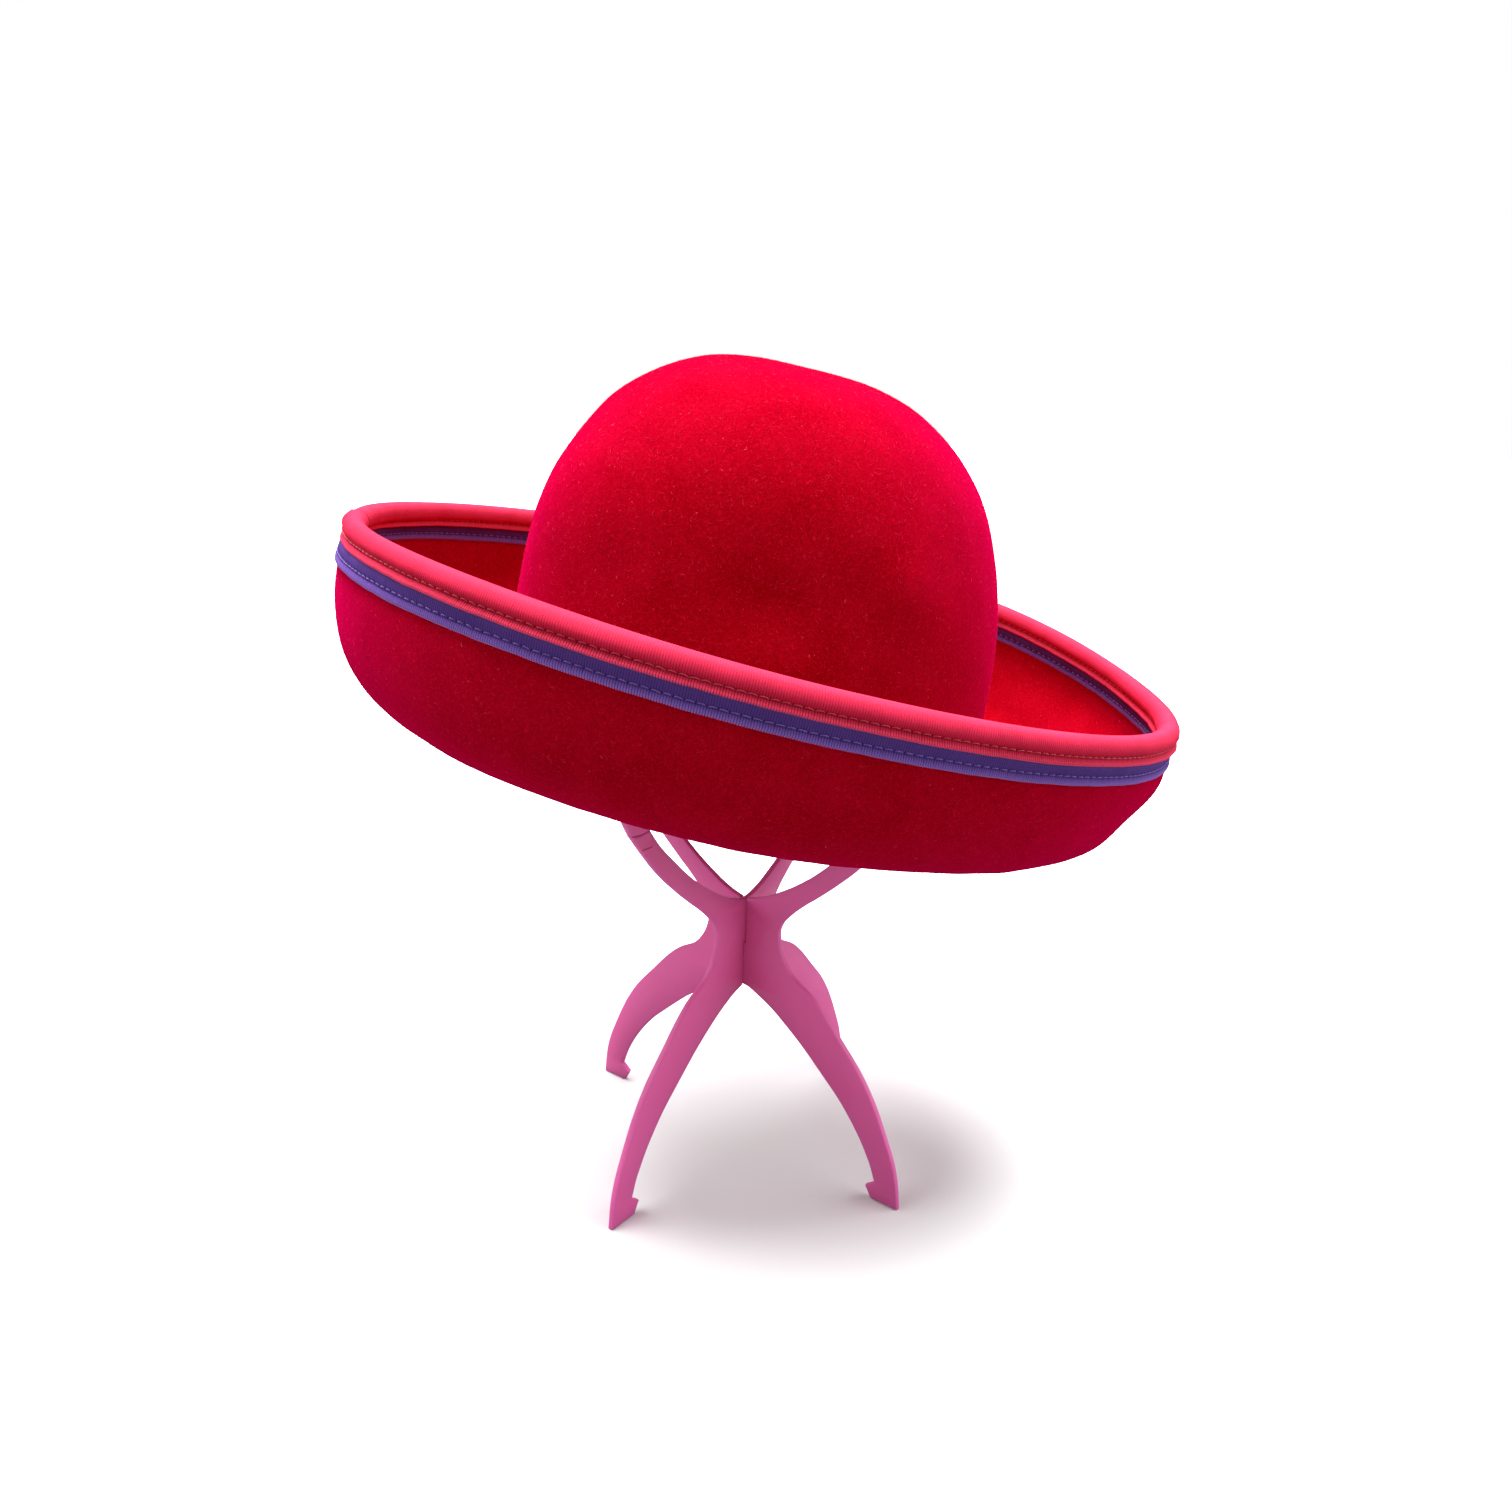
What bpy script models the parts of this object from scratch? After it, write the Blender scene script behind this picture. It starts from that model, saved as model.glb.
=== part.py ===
"""A red felt hat with a brim rolled up all round, bound in purple and coral ribbon, on a plain wig stand.

Metres, +Z up. The hat's front is at +X. The origin is on the floor, under the middle of the brim.
"""

import math

import bmesh
import bpy
import numpy as np
from mathutils import Euler, Vector
from mathutils.bvhtree import BVHTree

# The hat's crown, measured inside
CROWN_LENGTH = 0.2026
CROWN_WIDTH = 0.1674
CROWN_HEIGHT = 0.1224
CROWN_LEAN = -0.0064
CROWN_SQUARENESS = 2.96
CROWN_TAPER = 0.14

# The hat's brim, measured at the felt's edge
BRIM_LENGTH = 0.3496
BRIM_WIDTH = 0.2940
BRIM_SHIFT = 0.0020
BRIM_SQUARENESS = 2.11
RIM_RISE = 0.0292
END_DROP = 0.0465
SIDE_DROP = 0.0430
GUTTER_REACH = 0.405
SIDE_BELLY = 0.063
FRONT_BELLY = 0.100
BACK_BELLY = 0.095

# Materials' thicknesses, and the gap that two touching pieces keep
FELT = 0.0022
RIBBON = 0.0007
FIT_GAP = 0.0003

# How deep each ribbon reaches down from the felt's edge, and the shape of the coral one's roll
PURPLE_DEPTH = 0.0142
CORAL_DEPTH = 0.0062
CORAL_STITCH_DEPTH = 0.0040
ROLL_BULGE = 0.0007
LIP_FLARE = 0.0005

# How the hat sits on the stand
HAT_NOSE_DOWN = math.radians(12.3)
HAT_LEAN = math.radians(4.6)
HAT_TURN = math.radians(9.2)
HAT_FORWARD = 0.0010
HAT_ACROSS = 0.0056

# The stand, two crossed plates below and two crossed arches above
STAND_HEIGHT = 0.3540
STAND_TURN = math.radians(36.7)
PLATE = 0.0030
FOOT_RADIUS = 0.0893
FOOT_FLAT = 0.0138
CROTCH_HEIGHT = 0.0810
VALLEY_HEIGHT = 0.1243
WAIST_HEIGHT = 0.1115
WAIST_WIDTH = 0.0406
JOINT_RADIUS = 0.0711
JOINT_HEIGHT = 0.1748
JOINT_SLOPE = math.radians(53.5)
ARCH_SIDE_ROOM = 0.0003
ARCH_SPRING_HEIGHT = 0.2070
ARCH_TURN_OUTWARD = 0.0101
ARCH_TURN_RISE = 0.0092
ARCH_TURN_SLOPE = math.radians(68)
BAND = 0.0090
TAB_WIDTH = 0.0040
TAB_LENGTH = 0.0060

# How finely the lofted shells are divided
DIVISIONS = 60
CROWN_ROWS = 11
GUTTER_ROWS = 7
BOUND_ROWS = 2
EDGE_TURNS = (45, 90, 135)
SECTION_STEPS = 80
ARCH_STEPS = 7

# Waves in the rim's height: number round the hat, share of RIM_RISE, direction of the first top in degrees
RIM_WAVES = (
    (1, 0.246, -100),
    (2, 0.153, 104),
    (3, 0.025, 180),
    (4, 0.017, 180),
)

# Soft dents and swellings of the crown: direction in degrees from the front, height and half height as
# shares of CROWN_HEIGHT, half width as a share of the way round, depth as a share of CROWN_LENGTH
CROWN_DENTS = (
    (258, 0.42, 0.24, 0.060, 0.016),
    (285, 0.66, 0.18, 0.040, -0.008),
    (222, 0.30, 0.20, 0.050, 0.008),
    (170, 0.80, 0.10, 0.060, -0.008),
    (172, 0.93, 0.07, 0.070, 0.008),
    (188, 0.45, 0.30, 0.090, -0.012),
    (80, 0.55, 0.30, 0.080, 0.010),
)

# A leg's edges from the waist to the foot, and back up to the crotch: shares of FOOT_RADIUS and
# CROTCH_HEIGHT
LEG_OUTSIDE = (
    (0.292, 1.185),
    (0.459, 1.056),
    (0.627, 0.864),
    (0.773, 0.673),
    (0.907, 0.395),
    (0.974, 0.198),
)
LEG_INSIDE = ((0.817, 0.232), (0.672, 0.469), (0.524, 0.630), (0.319, 0.821), (0.123, 0.957))
HOOK_NUB = (0.811, 0.067)
HOOK_NOTCH = (0.862, 0.109)

# An arm's edges from the waist to the joint, and back down to the valley: shares of JOINT_RADIUS, and of
# the height from WAIST_HEIGHT or VALLEY_HEIGHT up to JOINT_HEIGHT
ARM_OUTSIDE = (
    (0.305, 0.085),
    (0.352, 0.156),
    (0.436, 0.250),
    (0.563, 0.370),
    (0.703, 0.510),
    (0.844, 0.667),
    (0.956, 0.818),
)
ARM_INSIDE = ((0.837, 0.838), (0.703, 0.640), (0.570, 0.457), (0.435, 0.303), (0.278, 0.156), (0.125, 0.044))

RED_FELT = (0.62, 0.004, 0.022, 1)
CORAL_RIBBON = (0.78, 0.06, 0.10, 1)
PURPLE_RIBBON = (0.10, 0.045, 0.32, 1)
PINK_PLASTIC = (0.55, 0.075, 0.26, 1)


def clear_scene():
    for obj in list(bpy.data.objects):
        bpy.data.objects.remove(obj, do_unlink=True)


def make_material(name, colour, roughness):
    material = bpy.data.materials.new(name)
    material.use_nodes = True
    shader = material.node_tree.nodes["Principled BSDF"]
    shader.inputs["Base Color"].default_value = colour
    shader.inputs["Roughness"].default_value = roughness
    shader.inputs["Metallic"].default_value = 0.0
    return material


def directions():
    return np.arange(DIVISIONS) * 2 * math.pi / DIVISIONS


def signed_power(value, power):
    return np.sign(value) * np.abs(value) ** power


# Crown


def dent_factor(theta, height_share):
    """How far the crown's wall is drawn in there, as a share of its radius."""
    inwards = np.zeros_like(theta)
    for azimuth, height, half_height, half_turn, depth in CROWN_DENTS:
        turn = np.angle(np.exp(1j * (theta - math.radians(azimuth))))
        across = turn / (2 * math.pi * half_turn)
        along = (height_share - height) / half_height
        inwards = inwards + depth * np.exp(-(across**2) - along**2)
    return 1 - 2 * inwards


def dome_profile(angle):
    """Radius and height of the dome as shares, from angle 0 at the head opening to a quarter turn on top."""
    height = np.sin(angle) ** (2 / CROWN_SQUARENESS)
    radius = np.cos(angle) ** (2 / CROWN_SQUARENESS) * (1 - CROWN_TAPER * np.sin(angle))
    return radius, height


def crown_rings():
    """The inside of the crown in even steps, from just under its top down to just above the head opening."""
    theta = directions()
    angles = np.linspace(math.pi / 2, 0, SECTION_STEPS * 8)
    radius, height = dome_profile(angles)
    steps = np.hypot(np.diff(radius) * CROWN_LENGTH / 2, np.diff(height) * CROWN_HEIGHT)
    travelled = np.concatenate([[0], np.cumsum(steps)])
    rings = []
    for row in range(1, CROWN_ROWS + 1):
        angle = np.interp(row / (CROWN_ROWS + 1) * travelled[-1], travelled, angles)
        radius, height = dome_profile(angle)
        scale = radius * dent_factor(theta, height)
        x = CROWN_LENGTH / 2 * np.cos(theta) * scale + CROWN_LEAN * height
        y = CROWN_WIDTH / 2 * np.sin(theta) * scale
        rings.append(np.stack([x, y, np.full(DIVISIONS, CROWN_HEIGHT * height)], axis=-1))
    return rings


# Brim


def rim_rise(theta):
    rise = np.ones_like(theta)
    for waves, share, top in RIM_WAVES:
        rise = rise + share * np.cos(waves * theta - math.radians(top))
    return RIM_RISE * rise


def brim_sections():
    """The brim's underside, as dense points from the head opening to the felt's edge in each direction."""
    theta = directions()[:, None]
    t = np.linspace(0, 1, SECTION_STEPS)[None, :]
    first = 3 * t * (1 - t) ** 2
    second = 3 * t**2 * (1 - t)
    last = t**3
    drop = END_DROP + (SIDE_DROP - END_DROP) * np.sin(theta) ** 2
    forward, backward = np.clip(np.cos(theta), 0, 1) ** 2, np.clip(-np.cos(theta), 0, 1) ** 2
    belly = SIDE_BELLY + (FRONT_BELLY - SIDE_BELLY) * forward + (BACK_BELLY - SIDE_BELLY) * backward
    reach = first * GUTTER_REACH + second * (1 + belly) + last
    height = -(first + second) * drop + last * rim_rise(theta)
    opening_x = CROWN_LENGTH / 2 * np.cos(theta)
    opening_y = CROWN_WIDTH / 2 * np.sin(theta)
    rim_x = BRIM_LENGTH / 2 * signed_power(np.cos(theta), 2 / BRIM_SQUARENESS) + BRIM_SHIFT
    rim_y = BRIM_WIDTH / 2 * signed_power(np.sin(theta), 2 / BRIM_SQUARENESS)
    x = opening_x + reach * (rim_x - opening_x)
    y = opening_y + reach * (rim_y - opening_y)
    return np.stack([x, y, height], axis=-1)


def read_section(section, depths):
    """A section's points at these distances down from the felt's edge, and the ways up to the edge there."""
    steps = np.linalg.norm(np.diff(section, axis=0), axis=1)
    from_edge = np.concatenate([[0], np.cumsum(steps[::-1])])
    tangents = np.gradient(section, axis=0)[::-1]
    points = [np.interp(depths, from_edge, section[::-1, k]) for k in range(3)]
    ups = np.stack([np.interp(depths, from_edge, tangents[:, k]) for k in range(3)], axis=-1)
    return np.stack(points, axis=-1), ups / np.linalg.norm(ups, axis=1)[:, None]


def brim_frames(depths):
    """Points at these distances down from the felt's edge, and the ways up and outwards there."""
    read = [read_section(section, depths) for section in brim_sections()]
    points = np.array([pair[0] for pair in read])
    ups = np.array([pair[1] for pair in read])
    outs = np.cross(np.roll(points, -1, axis=0) - np.roll(points, 1, axis=0), ups)
    return points, ups, outs / np.linalg.norm(outs, axis=2)[:, :, None]


def brim_rings():
    """The brim's underside from the head opening down through the gutter and up to the felt's edge."""
    bound = np.linspace(PURPLE_DEPTH, 0, BOUND_ROWS + 1)
    shares = np.arange(GUTTER_ROWS) / GUTTER_ROWS
    columns = []
    for section in brim_sections():
        length = np.linalg.norm(np.diff(section, axis=0), axis=1).sum()
        depths = np.concatenate([length - (length - PURPLE_DEPTH) * shares, bound])
        columns.append(read_section(section, depths)[0])
    return list(np.array(columns).transpose(1, 0, 2))


# Lofts


def loft(name, rings, material, parent, closed_top=None):
    """An open surface through rings of points, which faces to the left of the way from ring to ring."""
    body = bmesh.new()
    rows = [[body.verts.new(Vector(point)) for point in ring] for ring in rings]
    for upper, lower in zip(rows, rows[1:]):
        for k in range(DIVISIONS):
            after = (k + 1) % DIVISIONS
            body.faces.new((upper[k], lower[k], lower[after], upper[after]))
    if closed_top is not None:
        top = body.verts.new(Vector(closed_top))
        for k in range(DIVISIONS):
            body.faces.new((top, rows[0][k], rows[0][(k + 1) % DIVISIONS]))
    mesh = bpy.data.meshes.new(name)
    body.to_mesh(mesh)
    body.free()
    mesh.shade_smooth()
    obj = bpy.data.objects.new(name, mesh)
    obj.data.materials.append(material)
    obj.parent = parent
    return obj


def thicken(obj, thickness):
    shell = obj.modifiers.new("Thickness", "SOLIDIFY")
    shell.thickness = thickness
    shell.offset = 1
    shell.use_even_offset = True
    shell.use_rim = True
    return obj


def make_felt(parent):
    """Crown and brim are one piece of blocked felt, with no seam between them."""
    rings = crown_rings() + brim_rings()
    top = (CROWN_LEAN, 0, CROWN_HEIGHT)
    felt = loft("felt_body", rings, make_material("red_felt", RED_FELT, 0.9), parent, top)
    return thicken(felt, FELT)


def fold_over_edge(outside, inside, clearances):
    """Rings of a ribbon folded over the felt's edge.

    outside and inside are (depth, extra clearance) pairs, the first going up to the edge and the second
    down again. clearances is how far the ribbon's inner face keeps from the felt.
    """
    depths = np.array([depth for depth, _ in outside])
    points, _, outs = brim_frames(depths)
    rings = [points[:, k] + outs[:, k] * (clearances + extra) for k, (_, extra) in enumerate(outside)]
    edge, up, out = (frame[:, 0] for frame in brim_frames(np.array([0.0])))
    middle = edge - out * FELT / 2
    radius = FELT / 2 + clearances + outside[-1][1]
    for turn in EDGE_TURNS:
        angle = math.radians(turn)
        rings.append(middle + radius * (out * math.cos(angle) + up * math.sin(angle)))
    depths = np.array([depth for depth, _ in inside])
    points, _, outs = brim_frames(depths)
    rings += [points[:, k] - outs[:, k] * (FELT + clearances + extra) for k, (_, extra) in enumerate(inside)]
    return rings[::-1]


def make_purple_binding(parent):
    legs = [(PURPLE_DEPTH * share, 0) for share in (1, 0.5, 0)]
    rings = fold_over_edge(legs, legs[::-1], FIT_GAP)
    binding = loft("purple_binding", rings, make_material("purple_ribbon", PURPLE_RIBBON, 0.7), parent)
    return thicken(binding, RIBBON)


def make_coral_binding(parent):
    """It is rolled round the edge, drawn in at the stitches and flared below them."""
    legs = [
        (CORAL_DEPTH, LIP_FLARE),
        (CORAL_STITCH_DEPTH, 0),
        (CORAL_STITCH_DEPTH * 0.5, ROLL_BULGE * 0.8),
        (0, ROLL_BULGE),
    ]
    rings = fold_over_edge(legs, legs[::-1], FIT_GAP + RIBBON + FIT_GAP)
    binding = loft("coral_binding", rings, make_material("coral_ribbon", CORAL_RIBBON, 0.7), parent)
    return thicken(binding, RIBBON)


# Stand


def plate_from_outline(name, right_half, turn, material, parent):
    """A flat plate standing on edge. right_half lists (radius, height, is a corner) from the top down."""
    left_half = [(-radius, height, corner) for radius, height, corner in right_half[::-1] if radius > 0]
    points = right_half + left_half
    curve = bpy.data.curves.new(name, "CURVE")
    curve.dimensions = "2D"
    curve.fill_mode = "BOTH"
    curve.extrude = PLATE / 2
    curve.resolution_u = 3
    spline = curve.splines.new("BEZIER")
    spline.bezier_points.add(len(points) - 1)
    for point, (radius, height, corner) in zip(spline.bezier_points, points):
        point.co = (radius, height, 0)
        point.handle_left_type = point.handle_right_type = "VECTOR" if corner else "AUTO"
    spline.use_cyclic_u = True
    curve.materials.append(material)
    obj = bpy.data.objects.new(name, curve)
    obj.rotation_euler = (math.pi / 2, 0, turn)
    obj.parent = parent
    return obj


def joint_ends():
    """The arm's two corners at the joint, outer and inner, and the directions across and along the arm."""
    along = Vector((math.cos(JOINT_SLOPE), math.sin(JOINT_SLOPE)))
    across = Vector((along.y, -along.x))
    middle = Vector((JOINT_RADIUS, JOINT_HEIGHT))
    return middle + across * BAND / 2, middle - across * BAND / 2, across, along


def tab_outline(clearance):
    """The tab that stands on the arm's end, from its outer foot over its top, grown by a clearance."""
    _, _, across, along = joint_ends()
    middle = Vector((JOINT_RADIUS, JOINT_HEIGHT))
    half = TAB_WIDTH / 2 + clearance
    top = middle + along * (TAB_LENGTH + clearance)
    foot = middle + along * clearance
    return [foot + across * half, top + across * half, top - across * half, foot - across * half]


def legs_outline(slot_from_top):
    """Right half of a lower plate: valley, arm, waist, leg, foot and crotch, with half of the cross slot."""
    slot = PLATE / 2 + FIT_GAP
    middle = (VALLEY_HEIGHT + CROTCH_HEIGHT) / 2
    outer_end, inner_end, _, _ = joint_ends()
    arm_rise = JOINT_HEIGHT - VALLEY_HEIGHT
    waist_rise = JOINT_HEIGHT - WAIST_HEIGHT
    if slot_from_top:
        points = [(slot, middle - FIT_GAP / 2, True), (slot, VALLEY_HEIGHT, True)]
    else:
        points = [(0, VALLEY_HEIGHT, False)]
    points += [(r * JOINT_RADIUS, VALLEY_HEIGHT + z * arm_rise, False) for r, z in ARM_INSIDE[::-1]]
    points += [(*inner_end, True)]
    points += [(*corner, True) for corner in tab_outline(0)[::-1]]
    points += [(*outer_end, True)]
    points += [(r * JOINT_RADIUS, WAIST_HEIGHT + z * waist_rise, False) for r, z in ARM_OUTSIDE[::-1]]
    points += [(WAIST_WIDTH / 2, WAIST_HEIGHT, False)]
    points += [(r * FOOT_RADIUS, z * CROTCH_HEIGHT, False) for r, z in LEG_OUTSIDE]
    points += [(FOOT_RADIUS, 0, True), (FOOT_RADIUS - FOOT_FLAT, 0, True)]
    points += [(r * FOOT_RADIUS, z * CROTCH_HEIGHT, True) for r, z in (HOOK_NUB, HOOK_NOTCH)]
    points += [(r * FOOT_RADIUS, z * CROTCH_HEIGHT, False) for r, z in LEG_INSIDE]
    if slot_from_top:
        points += [(0, CROTCH_HEIGHT, False)]
    else:
        points += [(slot, CROTCH_HEIGHT, True), (slot, middle + FIT_GAP / 2, True)]
    return points


def arch_half_width():
    """The arches stand just inside the head opening's narrow side, as a head would."""
    return CROWN_WIDTH / 2 - ARCH_SIDE_ROOM


def arch_quarter(inset):
    """A quarter of an ellipse from the top of the arch to its spring, inset from the outer edge."""
    half = arch_half_width() - inset
    rise = STAND_HEIGHT - inset - ARCH_SPRING_HEIGHT
    angles = [math.pi / 2 * step / ARCH_STEPS for step in range(ARCH_STEPS + 1)]
    return [(half * math.sin(angle), ARCH_SPRING_HEIGHT + rise * math.cos(angle)) for angle in angles]


def arch_turn():
    """Where the arch turns up from the arm's slope, on its outer and on its inner edge."""
    across = Vector((math.sin(ARCH_TURN_SLOPE), -math.cos(ARCH_TURN_SLOPE)))
    outer = Vector((JOINT_RADIUS + ARCH_TURN_OUTWARD, JOINT_HEIGHT + ARCH_TURN_RISE))
    return outer, outer - across * BAND


def arch_outline(slot_from_top):
    """Right half of an upper arch: over its outer edge to the joint, and back under its inner edge."""
    slot = PLATE / 2 + FIT_GAP
    middle = STAND_HEIGHT - BAND / 2
    outer_end, inner_end, _, along = joint_ends()
    lift = along * FIT_GAP
    outer_end, inner_end = outer_end + lift, inner_end + lift
    outer, inner = arch_quarter(0), arch_quarter(BAND)
    outer_turn, inner_turn = arch_turn()
    if slot_from_top:
        points = [(slot, middle - FIT_GAP / 2, True), (slot, STAND_HEIGHT, True)]
    else:
        points = [(0, STAND_HEIGHT, False)]
    points += [(r, z, False) for r, z in outer[1:]]
    points += [(*outer_turn, False), (*outer_end, True)]
    points += [(*corner, True) for corner in tab_outline(FIT_GAP)]
    points += [(*inner_end, True), (*inner_turn, False)]
    points += [(r, z, False) for r, z in inner[:0:-1]]
    if slot_from_top:
        points += [(0, STAND_HEIGHT - BAND, False)]
    else:
        points += [(slot, STAND_HEIGHT - BAND, True), (slot, middle + FIT_GAP / 2, True)]
    return points


def make_stand(parent):
    plastic = make_material("pink_plastic", PINK_PLASTIC, 0.45)
    plates = []
    for letter, turn, slot_from_top in (("a", 0, True), ("b", math.pi / 2, False)):
        azimuth = turn - STAND_TURN
        for name, outline in (("legs", legs_outline), ("arch", arch_outline)):
            right_half = outline(slot_from_top)
            plates.append(plate_from_outline(f"stand_{name}_{letter}", right_half, azimuth, plastic, parent))
    return plates


# Seating


def seat_height(turn):
    """How high the head opening's middle sits when the crown comes to rest on the arches."""
    rings = crown_rings() + [brim_sections()[:, 0]]
    points = [Vector((CROWN_LEAN, 0, CROWN_HEIGHT))] + [Vector(point) for ring in rings for point in ring]
    faces = [(0, 1 + k, 1 + (k + 1) % DIVISIONS) for k in range(DIVISIONS)]
    for row in range(len(rings) - 1):
        for k in range(DIVISIONS):
            after = (k + 1) % DIVISIONS
            start = 1 + row * DIVISIONS
            faces.append((start + k, start + DIVISIONS + k, start + DIVISIONS + after, start + after))
    offset = Vector((HAT_FORWARD, HAT_ACROSS, 0))
    ceiling = BVHTree.FromPolygons([turn @ point + offset for point in points], faces)
    needed = 0
    for azimuth in (-STAND_TURN, math.pi / 2 - STAND_TURN):
        along = Vector((math.cos(azimuth), math.sin(azimuth), 0))
        across = Vector((-along.y, along.x, 0))
        for radius, height in arch_quarter(0):
            for side in (-1, 1):
                for face in (-1, 1):
                    foot = along * radius * side + across * PLATE / 2 * face - Vector((0, 0, CROWN_HEIGHT))
                    hit = ceiling.ray_cast(foot, Vector((0, 0, 1)))[0]
                    if hit is not None:
                        needed = max(needed, height - hit.z)
    return needed + FIT_GAP


def main():
    clear_scene()
    collection = bpy.data.collections.new("felt_hat_on_stand")
    bpy.context.scene.collection.children.link(collection)

    turn = Euler((HAT_LEAN, HAT_NOSE_DOWN, HAT_TURN), "ZYX").to_matrix()
    height = seat_height(turn)
    rim = [turn @ Vector(section[-1]) for section in brim_sections()]
    middle_x = (max(point.x for point in rim) + min(point.x for point in rim)) / 2 + HAT_FORWARD
    middle_y = (max(point.y for point in rim) + min(point.y for point in rim)) / 2 + HAT_ACROSS

    stand_axis = bpy.data.objects.new("stand_axis", None)
    stand_axis.location = (-middle_x, -middle_y, 0)
    hat_seat = bpy.data.objects.new("hat_seat", None)
    hat_seat.parent = stand_axis
    hat_seat.rotation_mode = "ZYX"
    hat_seat.rotation_euler = (HAT_LEAN, HAT_NOSE_DOWN, HAT_TURN)
    hat_seat.location = (HAT_FORWARD, HAT_ACROSS, height)

    hat = [make_felt(hat_seat), make_purple_binding(hat_seat), make_coral_binding(hat_seat)]
    for obj in [stand_axis, hat_seat, *hat, *make_stand(stand_axis)]:
        collection.objects.link(obj)


main()
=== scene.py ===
import math

import bpy
import numpy as np
from mathutils import Euler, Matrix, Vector, noise


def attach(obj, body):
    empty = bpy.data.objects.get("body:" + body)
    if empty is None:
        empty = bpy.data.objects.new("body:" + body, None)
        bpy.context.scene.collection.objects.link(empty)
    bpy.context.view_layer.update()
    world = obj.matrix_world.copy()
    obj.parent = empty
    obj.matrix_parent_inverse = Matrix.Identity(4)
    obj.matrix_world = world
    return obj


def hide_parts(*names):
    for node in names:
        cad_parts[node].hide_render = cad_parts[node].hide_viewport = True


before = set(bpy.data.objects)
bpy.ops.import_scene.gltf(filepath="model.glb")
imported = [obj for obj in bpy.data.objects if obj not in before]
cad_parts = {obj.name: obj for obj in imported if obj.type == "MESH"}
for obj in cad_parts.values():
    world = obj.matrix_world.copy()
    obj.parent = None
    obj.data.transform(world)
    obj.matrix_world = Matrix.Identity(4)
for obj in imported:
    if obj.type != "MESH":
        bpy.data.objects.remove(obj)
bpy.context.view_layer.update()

# Studio: a wide pale floor that runs out into pale air, one very broad soft light overhead and a little
# behind, a softer one at each side, and the camera where the photograph was taken from. Floor and air
# look paler to the camera than the light that they give back to the hat.

FLOOR_RADIUS = 30.0
FLOOR_DROP = 0.0002
PAPER_TO_CAMERA = (0.84, 0.84, 0.85, 1)
PAPER_TO_HAT = (0.21, 0.21, 0.21, 1)
AIR_TO_CAMERA = 1.0
AIR_TO_HAT_LOW = 0.06
AIR_TO_HAT_HIGH = 0.26
CAMERA_PLACE = (-0.00540, -0.48292, 0.33094)
CAMERA_DOWN = 0.28342
CAMERA_ROLL = 0.0283


def put_in_scene(name, data):
    made = bpy.data.objects.new(name, data)
    bpy.context.scene.collection.objects.link(made)
    return made


def add_node(tree, kind, inputs=None, **settings):
    """A shader node with its settings and inputs, where an input is a value or another node's socket."""
    made = tree.nodes.new(kind)
    for name, value in settings.items():
        setattr(made, name, value)
    for name, value in (inputs or {}).items():
        if isinstance(value, bpy.types.NodeSocket):
            tree.links.new(value, made.inputs[name])
        else:
            made.inputs[name].default_value = value
    return made


def mix_colour(tree, factor, under, over):
    mixed = add_node(tree, "ShaderNodeMix", {0: factor, 6: under, 7: over}, data_type="RGBA")
    return mixed.outputs[2]


def spread(tree, value, low, high, least=0.0, most=1.0):
    """The value between low and high, spread over least to most."""
    limits = {"From Min": low, "From Max": high, "To Min": least, "To Max": most}
    return add_node(tree, "ShaderNodeMapRange", {"Value": value, **limits}).outputs["Result"]


def start_material(name, **constants):
    material = bpy.data.materials.new(name)
    material.use_nodes = True
    shader = material.node_tree.nodes["Principled BSDF"]
    for socket, value in constants.items():
        shader.inputs[socket.replace("_", " ")].default_value = value
    return material, material.node_tree, shader


bpy.ops.object.select_all(action="DESELECT")
bpy.ops.mesh.primitive_circle_add(
    vertices=96, radius=FLOOR_RADIUS, fill_type="NGON", location=(0, 0, -FLOOR_DROP)
)
floor = bpy.context.object
floor.name = "studio_floor"

paper, tree, shader = start_material("studio_paper", Roughness=0.9, Specular_IOR_Level=0.0)
to_camera = add_node(tree, "ShaderNodeLightPath").outputs["Is Camera Ray"]
tree.links.new(mix_colour(tree, to_camera, PAPER_TO_HAT, PAPER_TO_CAMERA), shader.inputs["Base Color"])
floor.data.materials.append(paper)

air = bpy.data.worlds.new("studio_air")
air.use_nodes = True
tree = air.node_tree
direction = add_node(tree, "ShaderNodeTexCoord").outputs["Generated"]
upward = add_node(tree, "ShaderNodeSeparateXYZ", {"Vector": direction}).outputs["Z"]
to_hat = spread(tree, upward, 0.0, 1.0, AIR_TO_HAT_LOW, AIR_TO_HAT_HIGH)
to_camera = add_node(tree, "ShaderNodeLightPath").outputs["Is Camera Ray"]
backdrop = tree.nodes["Background"]
backdrop.inputs["Color"].default_value = (1.0, 1.0, 1.0, 1)
tree.links.new(spread(tree, to_camera, 0.0, 1.0, to_hat, AIR_TO_CAMERA), backdrop.inputs["Strength"])
bpy.context.scene.world = air
bpy.context.scene.view_settings.view_transform = "Standard"


def hang_light(name, direction, softness, strength):
    """A broad soft light that comes from this direction, softness degrees across."""
    lamp = bpy.data.lights.new(name, "SUN")
    lamp.energy = strength
    lamp.angle = math.radians(softness)
    put_in_scene(name, lamp).rotation_euler = Vector(direction).to_track_quat("Z", "Y").to_euler()


hang_light("soft_light_above", direction=(-0.06, 0.13, 1.0), softness=54, strength=9.6)
hang_light("soft_light_left", direction=(-1.0, -0.1, 0.85), softness=60, strength=1.9)
hang_light("soft_light_right", direction=(1.0, -0.1, 0.60), softness=60, strength=2.0)

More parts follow.
